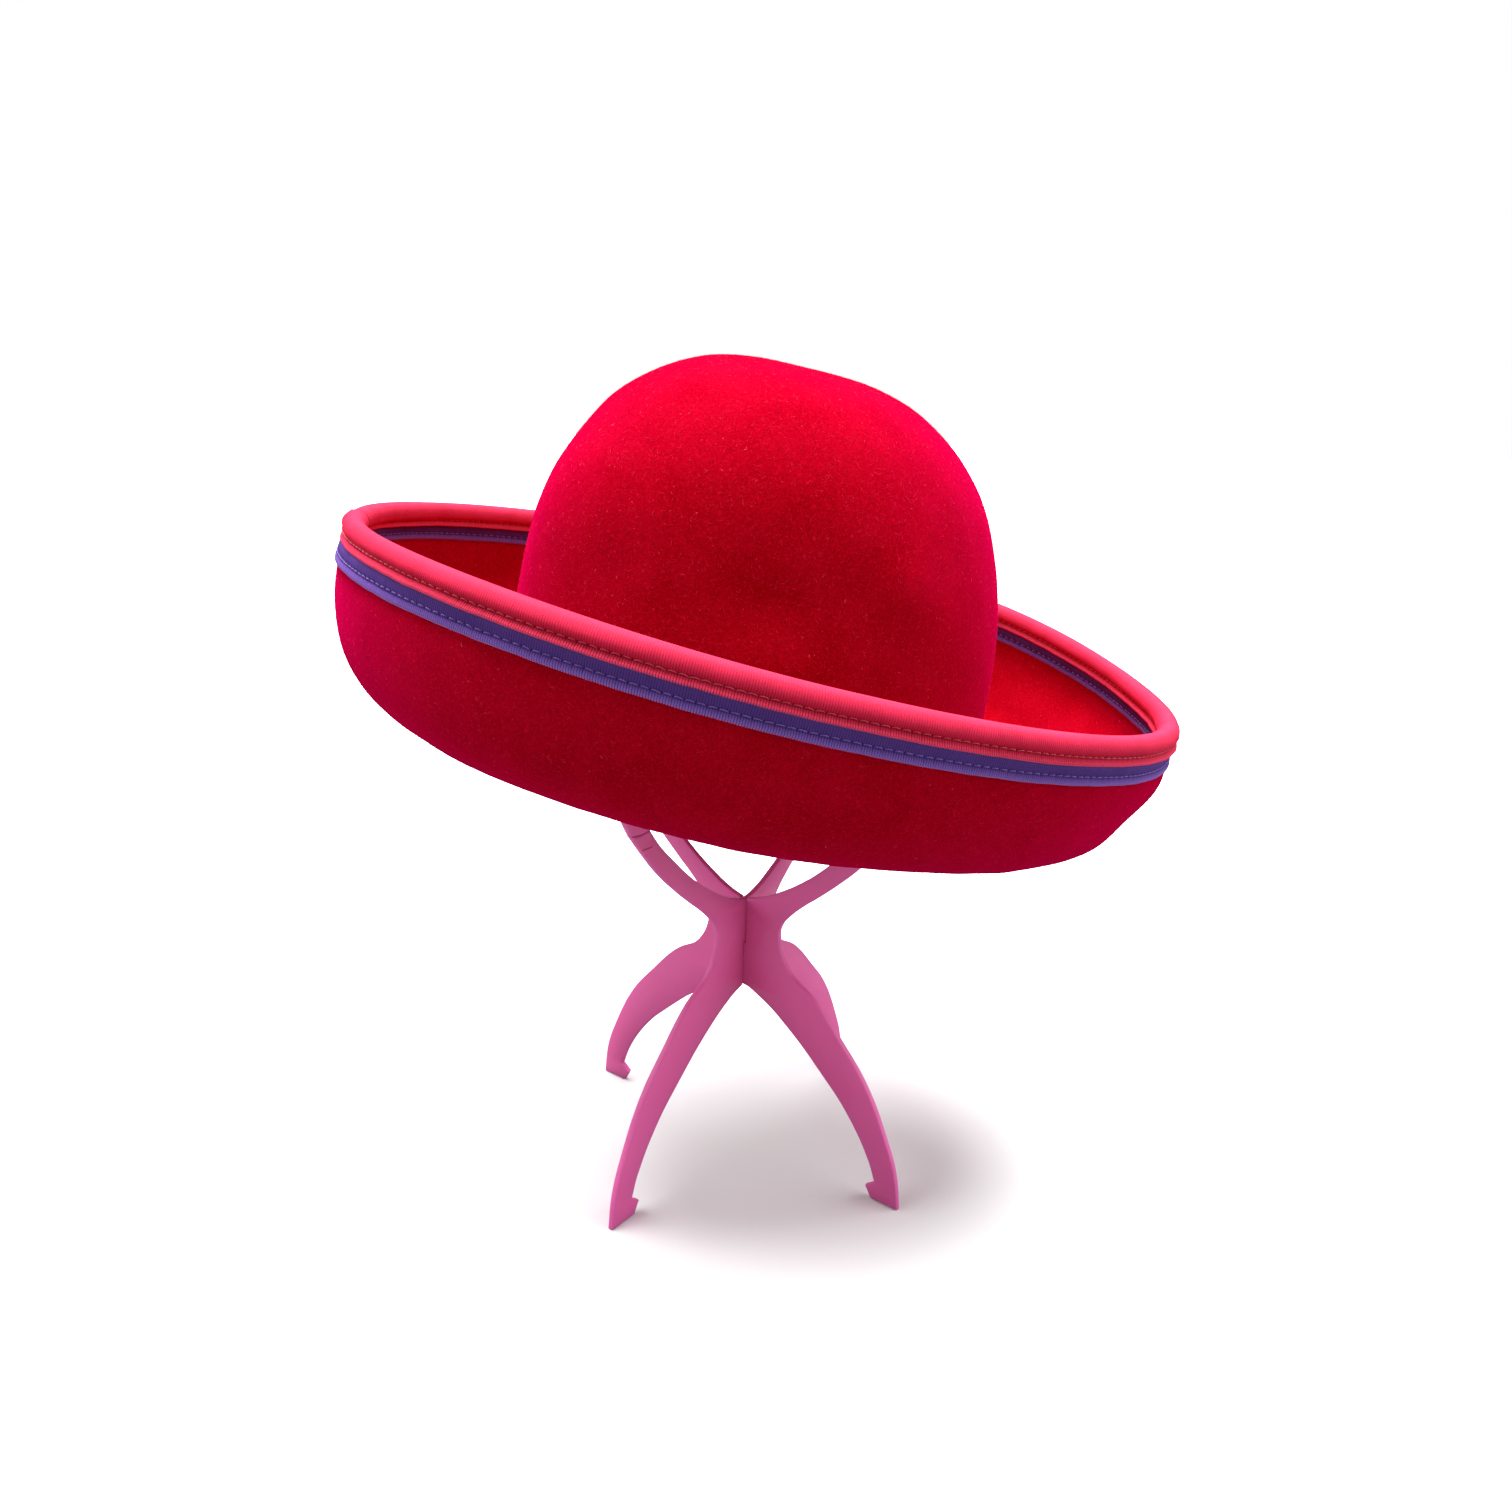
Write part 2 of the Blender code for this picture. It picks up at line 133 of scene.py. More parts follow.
lens = bpy.data.cameras.new("photograph")
lens.lens = 27.02
lens.sensor_width = 36.0
lens.clip_start = 0.01
camera = put_in_scene("photograph", lens)
camera.location = CAMERA_PLACE
camera.rotation_mode = "ZYX"
camera.rotation_euler = (math.pi / 2 - CAMERA_DOWN, 0, CAMERA_ROLL)
bpy.context.scene.camera = camera

# Wig stand: four flat plates of pink moulded plastic with softly rounded edges. Two slot into each
# other to make the legs and arms, two more cross above them as arches, clipped to the arms' ends.

STAND_AXIS = (-0.00854, -0.00347)
STAND_HEIGHT = 0.3540
STAND_TURN = math.radians(36.7)
PLATE = 0.0030
PLATE_ROUND = 0.0008
SLOT_GAP = 0.0003
FOOT_RADIUS = 0.0893
FOOT_FLAT = 0.0138
CROTCH_HEIGHT = 0.0810
VALLEY_HEIGHT = 0.1243
WAIST_HEIGHT = 0.1115
WAIST_WIDTH = 0.0406
JOINT_RADIUS = 0.0711
JOINT_HEIGHT = 0.1748
JOINT_SLOPE = math.radians(53.5)
JOINT_DIP = 0.0007
JOINT_GAP = 0.00004
ARCH_HALF_WIDTH = 0.0834
ARCH_SPRING_HEIGHT = 0.2070
ARCH_TURN_OUTWARD = 0.0101
ARCH_TURN_RISE = 0.0092
ARCH_TURN_SLOPE = math.radians(68)
ARCH_STEPS = 7
BAND = 0.0090
POCKET_RADIUS = 0.0674
POCKET_MIDDLE = 0.1703
POCKET_WIDTH = 0.0062
POCKET_HEIGHT = 0.0062
POCKET_DEPTH = 0.0005
POCKET_ROUND = 0.00045

# A leg's edges, outside from the waist to the foot and inside back up to the crotch, with the hook of
# the foot between them: shares of FOOT_RADIUS and CROTCH_HEIGHT
LEG_OUTSIDE = ((0.292, 1.185), (0.459, 1.056), (0.627, 0.864), (0.773, 0.673), (0.907, 0.395), (0.974, 0.198))
HOOK = ((0.811, 0.067), (0.862, 0.109))
LEG_INSIDE = ((0.817, 0.232), (0.672, 0.469), (0.524, 0.630), (0.319, 0.821), (0.123, 0.957))

# An arm's edges from the joint down: shares of JOINT_RADIUS and of the rise from the waist, or from the
# valley, to the joint
ARM_OUTSIDE = (
    (0.956, 0.818), (0.844, 0.667), (0.703, 0.510), (0.563, 0.370),
    (0.436, 0.250), (0.352, 0.156), (0.305, 0.085),
)
ARM_INSIDE = ((0.837, 0.838), (0.703, 0.640), (0.570, 0.457), (0.435, 0.303), (0.278, 0.156), (0.125, 0.044))
PINK = (0.90, 0.160, 0.47, 1)
PINK_DEEP = (0.86, 0.135, 0.42, 1)


def add_noise(tree, place, scale, detail, roughness=0.5):
    """A cloudy pattern from 0 to 1, with about scale clouds to a metre."""
    inputs = {"Vector": place, "Scale": scale, "Detail": detail, "Roughness": roughness}
    return add_node(tree, "ShaderNodeTexNoise", inputs).outputs["Fac"]


def add_relief(tree, shader, height, strength, distance):
    """Relief too fine to model, which only the light picks out."""
    inputs = {"Height": height, "Strength": strength, "Distance": distance}
    bump = add_node(tree, "ShaderNodeBump", inputs)
    tree.links.new(bump.outputs["Normal"], shader.inputs["Normal"])


def moulded_plastic():
    """Pink plastic with faint flow clouding and a fine satin texture from the mould."""
    material, tree, shader = start_material(
        "pink_plastic",
        IOR=1.49,
        Specular_IOR_Level=0.35,
        Subsurface_Weight=0.35,
        Subsurface_Radius=(0.008, 0.0030, 0.0045),
        Subsurface_Scale=1.0,
    )
    place = add_node(tree, "ShaderNodeTexCoord").outputs["Object"]
    flow = add_noise(tree, place, 26.0, 3.0)
    tree.links.new(mix_colour(tree, flow, PINK_DEEP, PINK), shader.inputs["Base Color"])
    wear = add_noise(tree, place, 70.0, 5.0)
    tree.links.new(spread(tree, wear, 0.3, 0.7, 0.36, 0.50), shader.inputs["Roughness"])
    add_relief(tree, shader, add_noise(tree, place, 1900.0, 2.0), strength=0.12, distance=0.0003)
    return material


def joint_line(height):
    """The level cut across the arm, slightly dished, from its outer corner to its inner one."""
    half = BAND / 2 / math.sin(JOINT_SLOPE)
    outer = (JOINT_RADIUS + half, height, True)
    return [outer, (JOINT_RADIUS, height - JOINT_DIP, False), (JOINT_RADIUS - half, height, True)]


def leg_points(edge, corner):
    return [(r * FOOT_RADIUS, z * CROTCH_HEIGHT, corner) for r, z in edge]


def arm_points(edge, foot_of_arm):
    rise = JOINT_HEIGHT - foot_of_arm
    return [(r * JOINT_RADIUS, foot_of_arm + z * rise, False) for r, z in edge]


def legs_outline(slot_from_top):
    """The right half of a plate of legs and arms: radius, height and whether there is a corner."""
    slot = PLATE / 2 + SLOT_GAP
    middle = (VALLEY_HEIGHT + CROTCH_HEIGHT) / 2
    if slot_from_top:
        points = [(slot, middle - SLOT_GAP / 2, True), (slot, VALLEY_HEIGHT, True)]
    else:
        points = [(0, VALLEY_HEIGHT, False)]
    points += arm_points(ARM_INSIDE[::-1], VALLEY_HEIGHT)
    points += joint_line(JOINT_HEIGHT)[::-1]
    points += arm_points(ARM_OUTSIDE, WAIST_HEIGHT)
    points += [(WAIST_WIDTH / 2, WAIST_HEIGHT, False)]
    points += leg_points(LEG_OUTSIDE, False)
    points += [(FOOT_RADIUS, 0, True), (FOOT_RADIUS - FOOT_FLAT, 0, True)]
    points += leg_points(HOOK, True)
    points += leg_points(LEG_INSIDE, False)
    if slot_from_top:
        points += [(0, CROTCH_HEIGHT, False)]
    else:
        points += [(slot, CROTCH_HEIGHT, True), (slot, middle + SLOT_GAP / 2, True)]
    return points


def arch_outline(slot_from_top):
    """The right half of an arch, out and down to the joint and back up on the inside."""
    slot = PLATE / 2 + SLOT_GAP
    middle = STAND_HEIGHT - BAND / 2
    angles = [math.pi / 2 * step / ARCH_STEPS for step in range(1, ARCH_STEPS + 1)]
    quarters = []
    for inset in (0, BAND):
        half = ARCH_HALF_WIDTH - inset
        rise = STAND_HEIGHT - inset - ARCH_SPRING_HEIGHT
        quarters.append([
            (half * math.sin(angle), ARCH_SPRING_HEIGHT + rise * math.cos(angle), False) for angle in angles
        ])
    if slot_from_top:
        points = [(slot, middle - SLOT_GAP / 2, True), (slot, STAND_HEIGHT, True)]
    else:
        points = [(0, STAND_HEIGHT, False)]
    across = Vector((math.sin(ARCH_TURN_SLOPE), -math.cos(ARCH_TURN_SLOPE)))
    turn = Vector((JOINT_RADIUS + ARCH_TURN_OUTWARD, JOINT_HEIGHT + ARCH_TURN_RISE))
    points += quarters[0]
    points += [(*turn, False)]
    points += joint_line(JOINT_HEIGHT + JOINT_GAP)
    points += [(*(turn - across * BAND), False)]
    points += quarters[1][::-1]
    if slot_from_top:
        points += [(0, STAND_HEIGHT - BAND, False)]
    else:
        points += [(slot, STAND_HEIGHT - BAND, True), (slot, middle + SLOT_GAP / 2, True)]
    return points


def pick(piece):
    """Selects this piece alone and works on it."""
    bpy.ops.object.select_all(action="DESELECT")
    piece.select_set(True)
    bpy.context.view_layer.objects.active = piece


def mould_plate(name, right_half, turn, material):
    """A plate standing on edge through the stand's axis, drawn as a curve and given rounded edges."""
    left_half = [(-radius, height, corner) for radius, height, corner in right_half[::-1] if radius > 0]
    points = right_half + left_half
    curve = bpy.data.curves.new(name, "CURVE")
    curve.dimensions = "2D"
    curve.fill_mode = "BOTH"
    curve.extrude = PLATE / 2 - PLATE_ROUND
    curve.bevel_depth = PLATE_ROUND
    curve.bevel_resolution = 1
    curve.offset = -PLATE_ROUND
    curve.resolution_u = 12
    spline = curve.splines.new("BEZIER")
    spline.bezier_points.add(len(points) - 1)
    for point, (radius, height, corner) in zip(spline.bezier_points, points):
        point.co = (radius, height, 0)
        point.handle_left_type = point.handle_right_type = "VECTOR" if corner else "AUTO"
    spline.use_cyclic_u = True
    plate = put_in_scene(name, curve)
    plate.location = (*STAND_AXIS, 0)
    plate.rotation_euler = (math.pi / 2, 0, turn)
    pick(plate)
    bpy.ops.object.convert(target="MESH")
    bpy.ops.object.transform_apply(location=True, rotation=True, scale=True)
    bpy.ops.object.mode_set(mode="EDIT")
    bpy.ops.mesh.select_all(action="SELECT")
    bpy.ops.mesh.remove_doubles(threshold=0.00001)
    bpy.ops.mesh.normals_make_consistent(inside=False)
    bpy.ops.object.mode_set(mode="OBJECT")
    bpy.ops.object.shade_smooth_by_angle(angle=math.radians(25))
    plate.data.materials.clear()
    plate.data.materials.append(material)
    return plate


def press_pockets(plate, turn):
    """A shallow pocket on both faces of each arm, just under the joint, where the clip is pressed in."""
    plane = Euler((math.pi / 2, 0, turn)).to_matrix()
    for side in (-1, 1):
        for face in (-1, 1):
            bpy.ops.object.select_all(action="DESELECT")
            bpy.ops.mesh.primitive_cube_add(size=1)
            cutter = bpy.context.object
            cutter.scale = (POCKET_WIDTH, POCKET_HEIGHT, POCKET_DEPTH * 2)
            bpy.ops.object.transform_apply(location=False, rotation=False, scale=True)
            rounding = cutter.modifiers.new("Round", "BEVEL")
            rounding.width = POCKET_ROUND
            rounding.segments = 3
            bpy.ops.object.modifier_apply(modifier="Round")
            place = plane @ Vector((POCKET_RADIUS * side, POCKET_MIDDLE, face * PLATE / 2))
            cutter.location = place + Vector((*STAND_AXIS, 0))
            cutter.rotation_euler = (math.pi / 2, 0, turn)
            bpy.context.view_layer.objects.active = plate
            cut = plate.modifiers.new("Pocket", "BOOLEAN")
            cut.operation = "DIFFERENCE"
            cut.solver = "EXACT"
            cut.object = cutter
            bpy.ops.object.modifier_apply(modifier="Pocket")
            bpy.data.objects.remove(cutter)


pink_plastic = moulded_plastic()
for letter, turn, slot_from_top in (("a", 0, True), ("b", math.pi / 2, False)):
    for part, outline in (("legs", legs_outline), ("arch", arch_outline)):
        plate = mould_plate(f"{part}_plate_{letter}", outline(slot_from_top), turn - STAND_TURN, pink_plastic)
        if part == "legs":
            press_pockets(plate, turn - STAND_TURN)
        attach(plate, "root")
        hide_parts(f"stand_{part}_{letter}")

# Hat body: one piece of red wool felt, 2.2 mm thick, blocked to a round crown and a brim that is
# rolled up all round. It has soft dents from handling, and it rests tilted on the arches.

HAT_LEAN = math.radians(4.6)
HAT_NOSE_DOWN = math.radians(12.3)
HAT_TURN = math.radians(9.2)
HAT_SEAT = Euler((HAT_LEAN, HAT_NOSE_DOWN, HAT_TURN), "ZYX").to_matrix()
HAT_PLACE = Vector((-0.0075416, 0.0021251, 0.2300850))
FELT = 0.0022
CROWN_LENGTH = 0.2026
CROWN_WIDTH = 0.1674
CROWN_HEIGHT = 0.1224
CROWN_LEAN = -0.0064
CROWN_SQUARENESS = 2.96
CROWN_TAPER = 0.14
BRIM_LENGTH = 0.3496
BRIM_WIDTH = 0.2940
BRIM_SHIFT = 0.0020
BRIM_SQUARENESS = 2.11
RIM_RISE = 0.0292
END_DROP = 0.0465
SIDE_DROP = 0.0430
GUTTER_REACH = 0.405
SIDE_BELLY = 0.063
FRONT_BELLY = 0.100
BACK_BELLY = 0.095
BACK_LEAN = 0.050
FRONT_LEAN = 0.016
LEAN_QUICKNESS = 28
FELT_COLUMNS = 384
CROWN_ROWS = 54
BRIM_ROWS = 66
BOUND_ROWS = 14
NAP_DARK = (0.20, 0.0, 0.0003, 1)
NAP_RED = (0.32, 0.0, 0.0015, 1)
NAP_LIGHT = (0.72, 0.006, 0.038, 1)
LINT = (0.85, 0.10, 0.14, 1)
FELT_GLOW = (1.0, 0.0, 0.19, 1)

# Soft dents and swellings of the crown: direction in degrees from the front, height and half height as
# shares of CROWN_HEIGHT, half width as a share of the way round, depth as a share of CROWN_LENGTH
CROWN_DENTS = (
    (258, 0.42, 0.24, 0.060, 0.022),
    (285, 0.66, 0.18, 0.040, -0.008),
    (222, 0.30, 0.20, 0.050, 0.008),
    (170, 0.80, 0.10, 0.060, -0.008),
    (172, 0.93, 0.07, 0.070, 0.008),
    (188, 0.45, 0.30, 0.090, -0.012),
    (80, 0.55, 0.30, 0.080, 0.010),
    (263, 0.36, 0.10, 0.030, 0.010),
    (292, 0.50, 0.08, 0.024, -0.010),
    (281, 0.47, 0.10, 0.016, 0.006),
)

# Waves in the rim's height: number round the hat, share of RIM_RISE, direction of the first top in degrees
RIM_WAVES = ((1, 0.246, -100), (2, 0.153, 104), (3, 0.025, 180), (4, 0.017, 180))

# The knee and the scoop below it at the front of the brim: size, place and width along the section's
# curve, from 0 at the head opening to 1 at the felt's edge
FRONT_FOLDS = ((0.050, 0.89, 0.055), (-0.030, 0.76, 0.07))

# Low swells of the felt: swells to a metre, height, and where in the noise they are taken from
FELT_SWELLS = ((24, 0.00075, (3.1, 0, 0)), (75, 0.00022, (0, 7.7, 0)))


def signed_power(value, power):
    return np.sign(value) * np.abs(value) ** power


def crown_profile(angle):
    """Shares of the crown's radius and height, for an angle that goes from the opening to the top."""
    radius = np.cos(angle) ** (2 / CROWN_SQUARENESS) * (1 - CROWN_TAPER * np.sin(angle))
    return radius, np.sin(angle) ** (2 / CROWN_SQUARENESS)


def crown_ring(theta, angle):
    """One ring of the crown's inside, with its dents."""
    radius, height = crown_profile(angle)
    inwards = np.zeros_like(theta)
    for azimuth, middle, half_height, half_turn, depth in CROWN_DENTS:
        turn = np.angle(np.exp(1j * (theta - math.radians(azimuth))))
        across = turn / (2 * math.pi * half_turn)
        along = (height - middle) / half_height
        inwards = inwards + depth * np.exp(-(across**2) - along**2)
    scale = radius * (1 - 2 * inwards)
    x = CROWN_LENGTH / 2 * np.cos(theta) * scale + CROWN_LEAN * height
    y = CROWN_WIDTH / 2 * np.sin(theta) * scale
    return np.stack([x, y, CROWN_HEIGHT * height * np.ones_like(theta)], axis=-1)


def brim_section(theta, steps=100):
    """The brim's underside in each direction, from the head opening to the felt's edge."""
    theta = np.asarray(theta)[:, None]
    t = np.linspace(0, 1, steps)[None, :]
    first = 3 * t * (1 - t) ** 2
    second = 3 * t**2 * (1 - t)
    last = t**3
    rise = np.ones_like(theta)
    for waves, share, top in RIM_WAVES:
        rise = rise + share * np.cos(waves * theta - math.radians(top))
    drop = END_DROP + (SIDE_DROP - END_DROP) * np.sin(theta) ** 2
    forward = np.clip(np.cos(theta), 0, 1) ** 2
    backward = np.clip(-np.cos(theta), 0, 1) ** 2
    belly = SIDE_BELLY + (FRONT_BELLY - SIDE_BELLY) * forward + (BACK_BELLY - SIDE_BELLY) * backward
    reach = first * GUTTER_REACH + second * (1 + belly) + last
    curl = np.exp((t - 1) * LEAN_QUICKNESS)
    reach = reach - (FRONT_LEAN * forward**2 + BACK_LEAN * backward**2) * curl
    folds = sum(size * np.exp(-(((t - middle) / width) ** 2)) for size, middle, width in FRONT_FOLDS)
    reach = reach + folds * forward**2
    height = -(first + second) * drop + last * RIM_RISE * rise
    opening_x = CROWN_LENGTH / 2 * np.cos(theta)
    opening_y = CROWN_WIDTH / 2 * np.sin(theta)
    rim_x = BRIM_LENGTH / 2 * signed_power(np.cos(theta), 2 / BRIM_SQUARENESS) + BRIM_SHIFT
    rim_y = BRIM_WIDTH / 2 * signed_power(np.sin(theta), 2 / BRIM_SQUARENESS)
    x = opening_x + reach * (rim_x - opening_x)
    y = opening_y + reach * (rim_y - opening_y)
    return np.stack([x, y, height], axis=-1)


def place_on_stand(points):
    """Points of the hat, from its own frame to the frame of the object."""
    turn = np.array(HAT_SEAT)
    return np.asarray(points) @ turn.T + np.array(HAT_PLACE)


def run_along(steps):
    """How far along a line each of its points lies, from the lengths of its steps."""
    return np.concatenate([[0], np.cumsum(steps)])


def felt_rings():
    """Rows of points from under the top of the crown down, round the gutter and up to the brim's edge."""
    theta = np.arange(FELT_COLUMNS) * 2 * math.pi / FELT_COLUMNS
    angles = np.linspace(math.pi / 2, 0, 2000)
    radius, height = crown_profile(angles)
    travelled = run_along(np.hypot(np.diff(radius) * CROWN_LENGTH / 2, np.diff(height) * CROWN_HEIGHT))
    rows = []
    for row in range(1, CROWN_ROWS + 1):
        angle = np.interp(row / (CROWN_ROWS + 1) * travelled[-1], travelled, angles)
        rows.append(crown_ring(theta, angle))
    sections = brim_section(theta, steps=400)
    lengths = np.linalg.norm(np.diff(sections, axis=1), axis=2)
    for row in range(BRIM_ROWS + 1):
        ring = np.empty((FELT_COLUMNS, 3))
        for k in range(FELT_COLUMNS):
            along = run_along(lengths[k])
            for axis in range(3):
                ring[k, axis] = np.interp(row / BRIM_ROWS * along[-1], along, sections[k, :, axis])
        rows.append(ring)
    return np.array(rows)


def handle_softly(rows):
    """Blocked felt is never quite even: low swells a few centimetres long, none where the ribbon grips."""
    fade = np.ones(len(rows))
    fade[-BOUND_ROWS:] = np.linspace(1, 0, BOUND_ROWS)
    across = np.roll(rows, -1, axis=1) - np.roll(rows, 1, axis=1)
    down = np.gradient(rows, axis=0)
    normal = np.cross(down, across)
    normal /= np.linalg.norm(normal, axis=2)[:, :, None]
    swell = np.zeros(rows.shape[:2])
    for i, row in enumerate(rows):
        for j, point in enumerate(row):
            for number, height, start in FELT_SWELLS:
                swell[i, j] += height * noise.noise(Vector(point) * number + Vector(start))
    return rows + normal * (swell * fade[:, None])[:, :, None]


def make_piece(name, points, faces, material):
    mesh = bpy.data.meshes.new(name)
    mesh.from_pydata(points, [], faces)
    mesh.shade_smooth()
    mesh.materials.append(material)
    return put_in_scene(name, mesh)


def loft_felt(name, rows, top, material):
    """A sheet through closed rings of points, drawn together at one point on top, then given its wall."""
    count, columns = rows.shape[:2]
    ring = np.arange(columns)
    after = (ring + 1) % columns
    faces = []
    for row in range(count - 1):
        upper = row * columns
        lower = upper + columns
        faces.append(np.stack([upper + ring, lower + ring, lower + after, upper + after], axis=-1))
    faces = np.concatenate(faces).tolist()
    faces += [(count * columns, int(k), int(k + 1) % columns) for k in ring]
    points = np.concatenate([rows.reshape(-1, 3), [top]])
    sheet = make_piece(name, points.tolist(), faces, material)
    pick(sheet)
    wall = sheet.modifiers.new("Felt", "SOLIDIFY")
    wall.thickness = FELT
    wall.offset = 1
    wall.use_even_offset = True
    bpy.ops.object.modifier_apply(modifier="Felt")
    return sheet


def reckon(tree, operation, *values):
    """One step of arithmetic on values that change over the surface."""
    return add_node(tree, "ShaderNodeMath", dict(enumerate(values)), operation=operation).outputs["Value"]


def start_group(name, vectors, numbers, results):
    """A node group with these inputs and outputs, and its two end nodes."""
    group = bpy.data.node_groups.new(name, "ShaderNodeTree")
    for socket in vectors:
        group.interface.new_socket(socket, in_out="INPUT", socket_type="NodeSocketVector")
    for socket in numbers:
        group.interface.new_socket(socket, in_out="INPUT", socket_type="NodeSocketFloat")
    for socket in results:
        group.interface.new_socket(socket, in_out="OUTPUT", socket_type="NodeSocketFloat")
    return group, add_node(group, "NodeGroupInput"), add_node(group, "NodeGroupOutput")


def felt_nap_group():
    """Wool felt seen close: mottled dye, a fine tangle of nap, stray fibres lying flat, specks of lint."""
    results = ("Mottle", "Nap", "Fibre", "Lint")
    group, start, end = start_group("felt_nap", ("Place",), ("Fleck Amount",), results)
    place = start.outputs["Place"]
    group.links.new(add_noise(group, place, 60.0, 4.0), end.inputs["Mottle"])
    group.links.new(add_noise(group, place, 1150.0, 4.0, roughness=0.75), end.inputs["Nap"])
    curl = add_node(group, "ShaderNodeTexNoise", {"Vector": place, "Scale": 260.0, "Detail": 2.0})
    sway = {0: curl.outputs["Color"], "Scale": 0.0065}
    bend = add_node(group, "ShaderNodeVectorMath", sway, operation="SCALE").outputs["Vector"]
    swayed = add_node(group, "ShaderNodeVectorMath", {0: place, 1: bend}, operation="ADD")
    tangle = swayed.outputs["Vector"]
    strands = []
    for turn, stretch in (
        ((0.3, 0.9, 0.5), (1, 0.34, 1)),
        ((1.1, 0.2, 0.8), (0.30, 1, 1)),
        ((0.6, 2.0, 1.9), (1, 1, 0.32)),
    ):
        lie = {"Vector": tangle, "Rotation": turn, "Scale": stretch}
        laid = add_node(group, "ShaderNodeMapping", lie).outputs["Vector"]
        strands.append(spread(group, add_noise(group, laid, 1700.0, 1.0), 0.58, 0.76))
    fibre = reckon(group, "MAXIMUM", reckon(group, "MAXIMUM", strands[0], strands[1]), strands[2])
    amount = reckon(group, "MULTIPLY", fibre, start.outputs["Fleck Amount"])
    group.links.new(amount, end.inputs["Fibre"])
    cells = add_node(group, "ShaderNodeTexVoronoi", {"Vector": tangle, "Scale": 240.0, "Randomness": 1.0})
    speck = spread(group, cells.outputs["Distance"], 0.09, 0.02)
    lot = add_node(group, "ShaderNodeSeparateColor", {"Color": cells.outputs["Color"]}).outputs["Red"]
    lint = reckon(group, "MULTIPLY", speck, reckon(group, "GREATER_THAN", lot, 0.62))
    group.links.new(lint, end.inputs["Lint"])
    return group


felt_nap = felt_nap_group()


def red_felt_material():
    material, tree, shader = start_material(
        "red_felt",
        Specular_IOR_Level=0.0,
        Sheen_Weight=0.42,
        Sheen_Roughness=0.50,
        Sheen_Tint=FELT_GLOW,
        Roughness=0.95,
    )
    place = add_node(tree, "ShaderNodeTexCoord").outputs["Object"]
    nap = add_node(tree, "ShaderNodeGroup", {"Place": place, "Fleck Amount": 0.34}, node_tree=felt_nap)
    body = mix_colour(tree, spread(tree, nap.outputs["Nap"], 0.34, 0.56), NAP_DARK, NAP_RED)
    body = mix_colour(tree, spread(tree, nap.outputs["Mottle"], 0.3, 0.7, 0.0, 0.11), body, NAP_LIGHT)
    body = mix_colour(tree, nap.outputs["Fibre"], body, NAP_LIGHT)
    body = mix_colour(tree, spread(tree, nap.outputs["Lint"], 0.0, 1.0, 0.0, 0.5), body, LINT)
    tree.links.new(body, shader.inputs["Base Color"])
    height = reckon(tree, "ADD", nap.outputs["Nap"], nap.outputs["Fibre"])
    add_relief(tree, shader, height, strength=0.22, distance=0.0005)
    return material


red_felt = red_felt_material()
felt_rows = place_on_stand(handle_softly(felt_rings()))
crown_top = place_on_stand([(CROWN_LEAN, 0, CROWN_HEIGHT)])[0]
hat_body = loft_felt("hat_body", felt_rows, crown_top, red_felt)
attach(hat_body, "root")
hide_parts("felt_body")

# Loose fibres: wool hairs teased out of the felt by wear, 0.7 to 2.6 mm long, lying curled on the nap
# with their ends a little lifted, so that the felt's outline is softly furred.

FIBRE_RADIUS = 0.000026
FIBRE_SHORTEST = 0.0007
FIBRE_LONGEST = 0.0026
FIBRE_CURL = 0.32
FIBRE_LIFT = 0.00018
NAP_CLEARANCE = 0.00002
FIBRE_PINK = (0.92, 0.045, 0.10, 1)
FIBRE_RED = (0.50, 0.002, 0.010, 1)

# A fibre's path from its root: shares of its length and curl, height over the root, share of its lift,
# and share of the full radius there
FIBRE_PATH = (
    (0.0, 0.0, 0.0, 0.0, 1.0),
    (0.45, 1.0, 0.00005, 0.4, 1.0),
    (0.80, 0.2, 0.00002, 1.0, 0.5),
)


